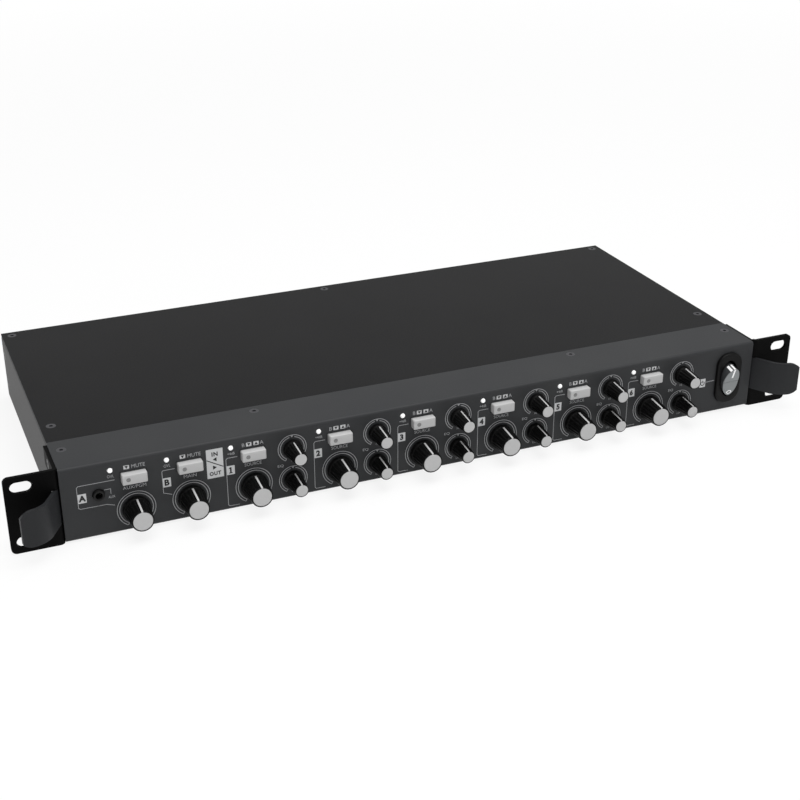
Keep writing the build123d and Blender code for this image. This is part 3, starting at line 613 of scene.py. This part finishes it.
def oval(half_width, half_height):
    """An ellipse's outline, with as many points as a bezel's."""
    count = 4 * (bezel_arc + 1)
    turns = [a + pi / count for a in circle(count)]
    return [(half_width * cos(a), half_height * sin(a)) for a in turns]


def level_ring(outline, height):
    """A flat outline at one height."""
    return [(x, y, height) for x, y in outline]


# Turning knobs
def knob_wall(size):
    """The rim's height, the radii of base, skirt, grip and top, the skirt's top and the taper."""
    rim = size["height"] - rim_drop
    base_r, top_r = size["base_d"] / 2, size["top_d"] / 2
    taper = (base_r - top_r) / (rim - knob_gap)
    skirt_r = base_r - taper * skirt_h
    return rim, base_r, skirt_r, skirt_r - wall_step, top_r, knob_gap + skirt_h, taper


def knob_rings(size):
    """Skirt, fluted wall, plain collar, rolled rim and the seat of the end cap, from the panel outwards."""
    rim, base_r, skirt_r, grip_r, top_r, skirt_top, taper = knob_wall(size)
    seat_r = size["cap_d"] / 2 + cap_play
    levels = [(base_r - 2 * edge_r, knob_gap, 0), (base_r - edge_r / 2, knob_gap, 0),
              (base_r, knob_gap + edge_r, 0), (skirt_r, skirt_top - edge_r, 0),
              (skirt_r - edge_r / 2, skirt_top, 0), (grip_r, skirt_top + edge_r / 4, 0),
              (grip_r - taper * edge_r, skirt_top + edge_r, 1)]
    levels += [(grip_r + (top_r - grip_r) * share, skirt_top + (rim - skirt_top) * share, fluted)
               for share, fluted in flute_run]
    levels += [(top_r, rim - edge_r, 0), (top_r - edge_r * edge_roll, rim - edge_r * edge_roll, 0),
               (top_r - edge_r, rim, 0), (seat_r, rim, 0), (seat_r, size["height"] - cap_sheet, 0)]
    rings = []
    for radius, height, fluted in levels:
        ring = []
        for a in circle(size["flutes"] * flute_points):
            r = radius - flute_depth * fluted * sin(size["flutes"] * a / 2) ** 2
            ring.append((r * sin(a), r * cos(a), height))
        rings.append(ring[::-1])
    return rings


def knob_pointer(size):
    """Raised pale line from the skirt up the wall and over the rim."""
    rim, _, _, grip_r, top_r, skirt_top, _ = knob_wall(size)
    half = size["pointer"] / 2
    flat = half * pointer_flat

    def section(r, h, foot_r, foot_h, dip):
        """One cross-section, with a flat top, soft shoulders and its foot inside the knob."""
        side_r, side_h = r - pointer_shoulder, h - dip
        return [(-half, foot_r, foot_h), (half, foot_r, foot_h), (half, side_r, side_h), (flat, r, h),
                (-flat, r, h), (-half, side_r, side_h)]

    up_wall = [(grip_r - pointer_root, skirt_top + edge_r), (grip_r + pointer_proud, skirt_top + 2 * edge_r),
               (top_r + pointer_proud, rim - edge_r)]
    over_rim = [(top_r - edge_r * pointer_turn_in, rim + pointer_crest),
                (size["cap_d"] / 2 + pointer_cap_gap, rim + pointer_end)]
    return skin([section(r, h, r - pointer_sink, h, 0) for r, h in up_wall] +
                [section(r, h, r - pointer_foot, h - pointer_sink / 2, pointer_dip) for r, h in over_rim])


def knob_cap(size):
    """End cap with a rolled edge."""
    top, r = size["height"], size["cap_d"] / 2
    edge = [(r - cap_edge * inwards, top - cap_edge * down) for inwards, down in cap_roll]
    return lathe([(r / 2, top)] + edge + [(r, top - cap_sheet), (r / 2, top - cap_sheet)], cap_turns)


def knob_meshes(kind, size):
    """The moulding, end cap and pointer that all knobs of one size share."""
    return [("moulding", mesh_of(kind + "_moulding", [skin(knob_rings(size))], knob_abs, knob_sharp)),
            ("cap", mesh_of(kind + "_cap", [knob_cap(size)], cap_abs, disc_sharp)),
            ("pointer", mesh_of(kind + "_pointer", [knob_pointer(size)], cap_abs, knob_sharp))]


level_meshes = knob_meshes("level", level_knob)
tone_meshes = knob_meshes("tone", tone_knob)
for node in [name for name in frame["nodes"] if name.endswith("_knob")]:
    meshes = level_meshes if "_level_" in node else tone_meshes
    place = on_front(*node_place(node))
    for part, mesh in meshes:
        made = piece(f"{node}_{part}", mesh, node, place)
        if part == "moulding":
            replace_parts(made, node)


# Push buttons
def button_rings():
    """The cap's wall, and the rolled edge that leads into its face."""
    rings = [level_ring(rounded(button_width, button_height, button_corner_r), -button_root)]
    for a in quarter(button_roll_steps):
        inset = button_edge_r * (1 - cos(a))
        corner = max(button_corner_r - inset, button_corner_r * least_corner)
        rings.append(level_ring(rounded(button_width - 2 * inset, button_height - 2 * inset, corner),
                                button_proud - button_edge_r + button_edge_r * sin(a)))
    return rings


def button_mesh():
    """Cap with rolled edges and a round recess in its face for the lamp window."""
    rings = button_rings()
    points, faces = skin(rings, True, False)
    shape = bmesh.new()
    corners = [shape.verts.new(point) for point in points]
    for face in faces:
        shape.faces.new([corners[index] for index in face])
    rim = corners[-len(rings[0]):]
    turns = circle(window_turns)
    hole = [[shape.verts.new((window_x + r * cos(a), r * sin(a), h)) for a in turns]
            for r, h in ((window_d / 2, button_proud), (window_d / 2 - window_taper, window_floor))]
    edges = [shape.edges.get((rim[i], rim[i - 1])) for i in range(len(rim))]
    edges += [shape.edges.new((hole[0][i], hole[0][i - 1])) for i in range(len(turns))]
    bmesh.ops.triangle_fill(shape, use_beauty=True, use_dissolve=False, edges=edges)
    for i in range(len(turns)):
        shape.faces.new((hole[0][i - 1], hole[0][i], hole[1][i], hole[1][i - 1]))
    shape.faces.new(hole[1])
    shape.verts.index_update()
    part = ([tuple(v.co) for v in shape.verts], [[v.index for v in face.verts] for face in shape.faces])
    shape.free()
    return mesh_of("button_cap", [part], button_abs, button_sharp)


def window_mesh():
    """Domed disc that sits in the recess."""
    r = window_d / 2 - window_play
    shoulder_share, shoulder_h = window_shoulder
    disc = lathe([(axis_r, window_floor + window_crown), (r * shoulder_share, window_floor + shoulder_h),
                  (r, window_floor + window_rim), (r, window_floor + window_lift),
                  (axis_r, window_floor + window_lift)], window_turns)
    return mesh_of("button_window", [moved(disc, window_x)], window_acrylic, disc_sharp)


window_x = window_inset - button_width / 2
window_floor = button_proud - window_depth
button_caps = button_mesh()
window_disc = window_mesh()
for node in [name for name in frame["nodes"] if name.endswith("_button")]:
    place = on_front(*node_place(node))
    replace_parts(piece(node + "_cap", button_caps, node, place), node)
    piece(node + "_window", window_disc, node, place)


# Lamps
def lamp(x):
    """Cast lens with a flange behind the panel, a plain side and a dome."""
    r = lamp_d / 2
    foot = [(axis_r, -lamp_root), (r + lamp_flange, -lamp_root), (r + lamp_flange, -lamp_flange_top),
            (r, -lamp_neck)]
    dome = [(r * cos(a), lamp_side + lamp_dome * sin(a)) for a in quarter(lamp_steps, 0)]
    return moved(lathe(foot + dome + [(axis_r, lamp_side + lamp_dome)], lamp_turns), x, lamp_z)


lamp_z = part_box("status_leds")[1].z / MM - lamp_rim_r
lenses = [lamp(x - lamp_offset_x) for x in input_xs + zone_xs]
lamp_mesh = mesh_of("status_lamps", lenses, lamp_epoxy)
lamps = piece("status_lamp_lenses", lamp_mesh, "case", on_front(0, 0))
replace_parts(lamps, "status_leds")

# Jack socket: a straight nose with a rolled mouth, and the sprung earth sleeve inside
nose_r, bore_r = jack_nose_d / 2, jack_bore_d / 2
jack_place = on_front(jack_x, jack_z)
nose = lathe([(nose_r, -jack_neck), (nose_r, jack_proud - jack_edge),
              (nose_r - jack_edge_roll, jack_proud - jack_edge_roll), (nose_r - jack_edge, jack_proud),
              (bore_r + jack_mouth, jack_proud), (bore_r + jack_mouth_roll, jack_proud - jack_mouth_roll),
              (bore_r, jack_proud - jack_mouth), (bore_r, -jack_depth), (nose_r, -jack_depth)],
             jack_turns, True)
jack = piece("aux_jack_nose", mesh_of("jack_nose", [nose], nylon), "case", jack_place)
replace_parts(jack, "aux_jack")
contact_rs = [bore_r - inset for inset in (contact_play, contact_lip, contact_lip, contact_play)]
contact = lathe([(r, -depth) for r, depth in zip(contact_rs, contact_run)], contact_turns, True)
piece("aux_jack_sleeve", mesh_of("jack_sleeve", [contact], nickel), "case", jack_place)


# Rocker switch: oval bezel round a well, with the housing and terminals behind the panel
def bezel_rings():
    """One closed skin from the housing's back over the bezel and down to the floor of the well."""
    sweep = hypot(rocker_half_length, rocker_reach)
    back = rounded(rocker_width + 2 * housing_wall, 2 * (sweep + housing_wall), housing_r, bezel_arc)
    rings = [level_ring(back, -housing_depth), level_ring(back, 0),
             level_ring(rounded(bezel_width, bezel_height, bezel_r, bezel_arc), 0)]
    for a in quarter(bezel_steps):
        inset = bezel_edge_r * (1 - cos(a))
        edge = rounded(bezel_width - 2 * inset, bezel_height - 2 * inset, bezel_r - inset, bezel_arc)
        rings.append(level_ring(edge, bezel_proud - bezel_edge_r + bezel_edge_r * sin(a)))
    for share, drop in well_roll:
        grow = well_play + well_mouth * share
        rings.append(level_ring(oval(rocker_width / 2 + grow, sweep + grow), bezel_proud - well_mouth * drop))
    rings.append(level_ring(oval(rocker_width / 2 + well_play, sweep + well_play), -well_depth))
    return rings


def terminal():
    """A flat blade with a narrowed tip, from the housing's back to the end of the CAD terminals."""
    end = front_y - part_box("rocker_frame")[1].y / MM
    width, thick = terminal_size
    blade = rounded(width, thick, terminal_edge, terminal_arc)
    tip = rounded(width - 2 * terminal_tip, thick - 2 * terminal_edge, terminal_edge / 2, terminal_arc)
    return skin([level_ring(blade, -housing_depth - terminal_gap), level_ring(blade, end + terminal_tip),
                 level_ring(tip, end)])


switch_place = on_front(rocker_x, rocker_z)
bezel_mesh = mesh_of("rocker_bezel", [skin(bezel_rings())], bezel_nylon)
bezel = piece("power_rocker_bezel", bezel_mesh, "case", switch_place)
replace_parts(bezel, "rocker_frame")
terminals = [moved(terminal(), 0, side * terminal_pitch / 2) for side in (-1, 1)]
terminal_mesh = mesh_of("rocker_terminals", terminals, nickel, blade_sharp)
piece("power_rocker_terminals", terminal_mesh, "case", switch_place)


def rocker_top(y):
    """Height of the rocker's face over its pivot: a shallow V with a groove along its bottom."""
    groove = crease_depth * max(1 - abs(y) / crease_half_width, 0)
    return rocker_reach - rocker_dish * (1 - abs(y) / rocker_half_length) - groove


def rocker_half_width(y):
    """Half the width of the oval rocker at a distance from its pivot."""
    return rocker_width / 2 * sqrt(max(1 - (y / rocker_half_length) ** 2, 0))


def rocker_sections():
    """Cross-sections along the rocker with rolled side edges, up to half a step short of its ends."""
    stations = [rocker_half_length * sin(pi / 2 * step / (rocker_stations + rocker_tip_step))
                for step in range(-rocker_stations, rocker_stations + 1)]
    stations += [-crease_half_width, crease_half_width]
    rings = []
    for y in sorted(stations):
        half, top = rocker_half_width(y), rocker_top(y)
        edge = min(rocker_edge_r, half * rocker_edge_across, (top + rocker_back) * rocker_edge_deep)
        right = [(half - edge + edge * sin(a), top - edge + edge * cos(a))
                 for a in quarter(rocker_edge_steps)]
        ring = right + [(half, -rocker_back), (-half, -rocker_back)] + [(-x, z) for x, z in right[::-1]]
        rings.append([(x, y, z) for x, z in ring])
    return rings


rocker_place = (Matrix.Translation(Vector((rocker_x, pivot_y, rocker_z)) * MM)
                @ Matrix.Rotation(pi / 2, 4, "X") @ Matrix.Rotation(radians(rocker_tilt), 4, "X"))
rocker_mesh = mesh_of("rocker", [skin(rocker_sections())], rocker_wall_painted_shade, blade_sharp)
rocker_mesh.materials.append(rocker_grey)
# Faces that lean outwards take the grey face; the walls keep the darker grey of painted shade
for face in rocker_mesh.polygons:
    if face.normal.z > rocker_face_lean:
        face.material_index = 1
rocker = piece("power_rocker_key", rocker_mesh, "power_rocker", rocker_place)
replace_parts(rocker, "power_rocker")


# Marks on the rocker
def line_mark():
    """The raised stroke on the upper half of the face, up to the rocker's end."""
    half, flat = mark_width / 2, mark_width * mark_flat
    length = rocker_half_length - line_mark_short - line_mark_start
    rings = []
    for step in range(line_mark_steps + 1):
        y = line_mark_start + length * step / line_mark_steps
        foot, side, top = [rocker_top(y) + h for h in (-mark_sink, mark_proud * mark_shoulder, mark_proud)]
        rings.append([(-half, y, foot), (half, y, foot), (half, y, side), (flat, y, top), (-flat, y, top),
                      (-half, y, side)])
    return skin(rings)


def ring_mark():
    """The raised ring near the lower end, squashed along the rocker."""
    outer_r, inner_r = ring_radii
    walls = ((outer_r, -ring_sink), (outer_r, mark_proud), (inner_r, mark_proud), (inner_r, -ring_sink))
    rings = []
    for r, lift in walls:
        places = [(r * cos(a), ring_y + ring_squash * r * sin(a)) for a in circle(ring_points)]
        rings.append([(x, y, rocker_top(y) + lift) for x, y in places])
    return skin(rings + rings[:1], False, False)


def end_mark(x):
    """A raised stroke down the rocker's round upper end."""
    top = rocker_reach - rocker_edge_r / 2
    steps = range(-end_mark_half_points, end_mark_half_points + 1)
    across = [x + mark_width / 2 * step / end_mark_half_points for step in steps]
    wall = [(wx, rocker_half_length * sqrt(1 - (2 * wx / rocker_width) ** 2)) for wx in across]
    rings = []
    for step in range(end_mark_steps + 1):
        height = top * (1 - end_mark_run * step / end_mark_steps)
        rings.append([(wx, wy - mark_sink, height) for wx, wy in wall] +
                     [(wx, wy + mark_proud, height) for wx, wy in wall[::-1]])
    return skin(rings)


marks = [line_mark(), ring_mark()] + [end_mark(x) for x in end_mark_xs]
piece("power_rocker_marks", mesh_of("rocker_marks", marks, ink_white), "power_rocker", rocker_place)


# Panel print
def stroke(line, closed=False, width=ink_line):
    """A printed line of even width through points on the panel, with a film's thickness."""
    count = len(line)
    rings = []
    for place in range(count):
        here = Vector(line[place])
        before = Vector(line[place - 1]) if closed or place else here
        after = Vector(line[(place + 1) % count]) if closed or place < count - 1 else here
        into = (here - before).normalized() if here != before else (after - here).normalized()
        out = (after - here).normalized() if after != here else into
        across = Vector((-(into + out).y, (into + out).x)).normalized()
        reach = width / 2 / max(across.dot(Vector((-into.y, into.x))), mitre_limit)
        left, right = here + across * reach, here - across * reach
        rings.append([(left.x, left.y, 0), (right.x, right.y, 0), (right.x, right.y, ink_thick),
                      (left.x, left.y, ink_thick)])
    if closed:
        rings.append(rings[0])
    return skin(rings, not closed, not closed)


def filled(outline, low=0.0, high=ink_thick):
    """A printed area inside an outline."""
    return skin([level_ring(outline, low), level_ring(outline, high)])


def over(part):
    """A part on top of a printed plate."""
    return moved(part, 0, 0, ink_thick)


def plate(x, z, height, width):
    """A printed plate with round corners, for a dark character."""
    return moved(filled(rounded(width, height, plate_r, plate_arc)), x, z)


def word(text, x, z, height, width=None, lift=0.0, bold=0.0):
    """Letters as a thin film, set to a height and, where given, a width."""
    curve = bpy.data.curves.new("letters", "FONT")
    curve.body = text
    curve.resolution_u = letter_steps
    curve.fill_mode = "FRONT"
    curve.offset = bold
    curve.space_character = 1 + bold_spacing * bold
    holder = bpy.data.objects.new("letters", curve)
    bpy.context.scene.collection.objects.link(holder)
    bpy.context.view_layer.update()
    flat = bpy.data.meshes.new_from_object(holder.evaluated_get(bpy.context.evaluated_depsgraph_get()))
    bpy.data.objects.remove(holder)
    bpy.data.curves.remove(curve)
    xs, ys = [v.co.x for v in flat.vertices], [v.co.y for v in flat.vertices]
    tall = height / (max(ys) - min(ys))
    wide = width / (max(xs) - min(xs)) if width else tall
    mx, my = (min(xs) + max(xs)) / 2, (min(ys) + max(ys)) / 2
    shape = bmesh.new()
    shape.from_mesh(flat)
    bpy.data.meshes.remove(flat)
    bmesh.ops.remove_doubles(shape, verts=shape.verts, dist=letter_weld)
    top = bmesh.ops.extrude_face_region(shape, geom=list(shape.faces))
    for v in [item for item in top["geom"] if isinstance(item, bmesh.types.BMVert)]:
        v.co.z = 1.0
    shape.verts.index_update()
    points = [(x + (v.co.x - mx) * wide, z + (v.co.y - my) * tall, lift + ink_thick * v.co.z)
              for v in shape.verts]
    faces = [[v.index for v in face.verts] for face in shape.faces]
    shape.free()
    return points, faces


def arc(x, z, radius, low, high, steps=scale_steps):
    """Points round a centre, between two turns in degrees from straight up."""
    turns = [radians(low + (high - low) * step / steps) for step in range(steps + 1)]
    return [(x + radius * sin(a), z + radius * cos(a)) for a in turns]


def scale(x, z, radii):
    """The double arc round a level knob, joined at both ends."""
    inner, outer = radii
    out = arc(x, z, outer, -scale_sweep, scale_sweep)
    back = arc(x, z, inner, scale_sweep, -scale_sweep)
    return stroke(out + back, True)


def centred_scale(x, z, radii):
    """The double arc round a tone knob, with a gap and a mark at its middle setting."""
    inner, outer = radii
    left = arc(x, z, inner, -tone_gap, -scale_sweep, tone_scale_steps)
    right = arc(x, z, inner, scale_sweep, tone_gap, tone_scale_steps)
    mark = [(x - tone_mark_half, z + outer), (x, z + inner - tone_mark_dip), (x + tone_mark_half, z + outer)]
    return [stroke(left + arc(x, z, outer, -scale_sweep, scale_sweep) + right), filled(mark)]


def arrow(x, z, size, turn):
    """A filled arrow on a plate, turned by degrees from pointing right."""
    turns = [radians(turn) + a for a in circle(3)]
    corners = [(x + size * cos(a), z + size * sin(a)) for a in turns]
    return filled(corners, ink_thick, 2 * ink_thick)


def shifted(line, x, z=0.0):
    """Places moved to the control that they belong to."""
    return [(px + x, pz + z) for px, pz in line]


lines, plates, words, dark = [], [], [], []


def switch_plate(x, height, turn):
    """The small plate over a button, with an arrow for its up or down place."""
    plates.append(plate(x, switch_z, height, switch_plate_width))
    dark.append(arrow(x, switch_z - arrow_shift * sin(radians(turn)), arrow_size, turn))


# Frames and ties of the inputs, the jack and the power switch
lines.append(stroke(shifted(input_a_frame, input_xs[0]), width=frame_line))
lines.append(stroke(shifted(input_b_frame, input_xs[1]), width=frame_line))
lines.append(stroke(shifted(jack_tie, jack_x, jack_z), width=frame_line))
lines.append(stroke(shifted(power_tie, rocker_x)))
words.append(word("AUX", jack_x + jack_word_place[0], jack_z + jack_word_place[1], *jack_word_size))

# Inputs
for x, letter, letter_x, (caption, caption_width) in zip(input_xs, "AB", input_letter_xs, input_captions):
    plates.append(plate(x + letter_x, number_z, *input_plate))
    dark.append(word(letter, x + letter_x, number_z, input_letter_h, lift=ink_thick, bold=number_bold))
    words.append(word("OVL", x - lamp_offset_x, lamp_word_z, *overload_size))
    switch_plate(x + mute_plate_x, mute_plate_h, mute_arrow_turn)
    words.append(word("MUTE", x + mute_word_x, switch_z, switch_word_h, mute_width))
    words.append(word(caption, x, caption_z, caption_h, caption_width))
    lines.append(scale(x, level_z, level_scale_r))

# Plate between inputs and outputs
way_x = input_xs[1]
plates.append(plate(way_x + way_plate_place[0], way_plate_place[1], *way_plate))
dark.append(over(stroke(shifted(way_divider, way_x), width=way_divider_line)))
for x, z, turn in way_arrows:
    dark.append(arrow(way_x + x, z, way_arrow_size, turn))
for text, x, z, height, width in way_words:
    dark.append(word(text, way_x + x, z, height, width, lift=ink_thick, bold=way_bold))

# Zones; the figure one gets a foot and a flag
for number, x in enumerate(zone_xs, 1):
    lines.append(stroke(shifted(zone_frame, x), width=frame_line))
    plates.append(plate(x + number_x, number_z, *number_plate))
    dark.append(word(str(number), x + number_x, number_z, number_h, lift=ink_thick, bold=number_bold))
    if number == 1:
        foot = rounded(one_foot_width, one_foot_h, one_foot_r, one_foot_arc)
        dark.append(over(moved(filled(foot), x + number_x, one_foot_z)))
        dark.append(over(filled(shifted(one_flag, x + number_x))))
    words.append(word("+4dB", x - lamp_offset_x, lamp_word_z, *gain_size))
    for letter, letter_x in source_letters:
        words.append(word(letter, x + letter_x, switch_z, switch_word_h))
    for plate_x, turn in source_plates:
        switch_plate(x + plate_x, source_plate_h, turn)
    words.append(word("SOURCE", x, caption_z, caption_h, source_width))
    lines.append(scale(x, level_z, level_scale_r))
    tone_x = x + tone_offset_x
    words.append(word("EQ", tone_x + tone_word_place[0], tone_word_place[1], *tone_word_size))
    for (_, tone_z), band in zip(tone_places, ("HI", "LO")):
        lines += centred_scale(tone_x, tone_z, tone_scale_r)
        words.append(word(band, tone_x, tone_z - band_word_drop, band_word_h))

# Power symbol on its plate
power_x = rocker_x + power_plate_place[0]
plates.append(plate(power_x, power_plate_place[1], *power_plate))
power_ring = arc(power_x, power_ring_z, power_ring_r, *power_ring_turns, power_ring_steps)
dark.append(over(stroke(power_ring, width=power_line)))
dark.append(over(stroke([(power_x, z) for z in power_stem_zs], width=power_line)))
for name, parts, ink in (("lines", lines, ink_grey), ("plates", plates, ink_light),
                         ("words", words, ink_grey), ("dark_characters", dark, ink_dark)):
    piece("panel_print_" + name, mesh_of("print_" + name, parts, ink, film_sharp), "case", on_front(0, 0))

# Rear sockets' coloured inserts, each with the hole for a plug's pin
phono_z = node_place("phono_blocks")[1]
insert = lathe([(insert_r, insert_root), (insert_r, insert_proud - insert_edge),
                (insert_face_r, insert_proud), (insert_mouth_r, insert_proud),
                (insert_bore_r, insert_proud - insert_mouth), (insert_bore_r, insert_root)],
               insert_turns, True)
for name, z, material in (("upper", phono_z + phono_pitch / 2, insert_white),
                          ("lower", phono_z - phono_pitch / 2, insert_red)):
    parts = [moved(insert, -x, z) for x in input_xs + zone_xs]
    piece(f"phono_inserts_{name}", mesh_of("inserts_" + name, parts, material), "case", on_rear(0, 0))

# Mains inlet's blades: nickel-plated brass with chamfered tips over the CAD blades
blade_outline = rounded(*blade_size, blade_edge, blade_arc)
blade = skin([level_ring(blade_outline, -blade_root), level_ring(blade_outline, -blade_shoulder),
              level_ring(rounded(*blade_tip_size, blade_edge, blade_arc), -blade_tip)])
blades = [moved(blade, x, z) for x, z in blade_places]
piece("mains_inlet_blades", mesh_of("inlet_blades", blades, nickel, blade_sharp), "case",
      on_rear(*node_place("mains_inlet")))


# Studio: white paper that rises far away all round, soft box and an even sky
def studio_paper():
    """Matt white card. Cameras and shiny surfaces see it lifted to white, a little less near the object."""
    material = bpy.data.materials.new("studio_paper_white")
    material.use_nodes = True
    tree = material.node_tree
    shader = tree.nodes["Principled BSDF"]
    shader.inputs["Base Color"].default_value = linear(paper_colour)
    shader.inputs["Roughness"].default_value = paper_roughness
    ray = add(tree, "LightPath").outputs
    seen = add(tree, "Math", {"operation": "MAXIMUM"}, i0=ray["Is Camera Ray"], i1=ray["Is Glossy Ray"])
    seen = add(tree, "Math", {"operation": "MAXIMUM"}, i0=seen.outputs[0], i1=ray["Is Transmission Ray"])
    spot = add(tree, "VectorMath", {"operation": "LENGTH"}, i0=add(tree, "TexCoord").outputs["Object"])
    near, far = [reach * MM for reach in floor_lift_reach]
    whiter = add(tree, "MapRange", i0=spot.outputs["Value"], i1=near, i2=far, i3=floor_lift_shares[0],
                 i4=floor_lift_shares[1])
    lift = add(tree, "Math", {"operation": "MULTIPLY"}, i0=seen.outputs[0], i1=whiter.outputs[0])
    white = add(tree, "Emission", Color=(1, 1, 1, 1), Strength=1.0)
    mixed = add(tree, "MixShader", i0=lift.outputs[0], i1=shader.outputs[0], i2=white.outputs[0])
    tree.links.new(mixed.outputs[0], tree.nodes["Material Output"].inputs["Surface"])
    return material


cove = [(floor_r - floor_cove * (1 - sin(a)), floor_cove * (1 - cos(a))) for a in quarter(cove_steps)]
# The last face would close the turned floor at its rim, so it is left out
floor_points, floor_faces = lathe([(floor_cove, 0)] + cove + [(floor_r, floor_rim)], floor_turns)
floor_mesh = mesh_of("studio_floor", [(floor_points, floor_faces[:-1])], studio_paper())
floor = bpy.data.objects.new("studio_floor", floor_mesh)
floor.location.z = cad_low.z - floor_drop * MM
bpy.context.scene.collection.objects.link(floor)

world = bpy.data.worlds.new("studio_sky")
world.use_nodes = True
world.node_tree.nodes["Background"].inputs["Color"].default_value = (1, 1, 1, 1)
world.node_tree.nodes["Background"].inputs["Strength"].default_value = sky_level
bpy.context.scene.world = world

softbox = bpy.data.lights.new("softbox", "AREA")
softbox.shape = "RECTANGLE"
softbox.size, softbox.size_y = [side * MM for side in softbox_size]
softbox.energy = softbox_power
lamp_object = bpy.data.objects.new("softbox", softbox)
lamp_object.location = Vector(softbox_place) * MM
lamp_object.rotation_mode = "QUATERNION"
lamp_object.rotation_quaternion = (-lamp_object.location).to_track_quat("-Z", "Y")
bpy.context.scene.collection.objects.link(lamp_object)

camera = bpy.data.cameras.new("camera")
camera.lens = camera_lens
camera.sensor_width = camera_sensor
camera_object = bpy.data.objects.new("camera", camera)
camera_object.location = Vector(camera_place) * MM
camera_object.rotation_euler = [radians(turn) for turn in camera_turn]
bpy.context.scene.collection.objects.link(camera_object)
bpy.context.scene.camera = camera_object
bpy.context.scene.view_settings.view_transform = "Standard"
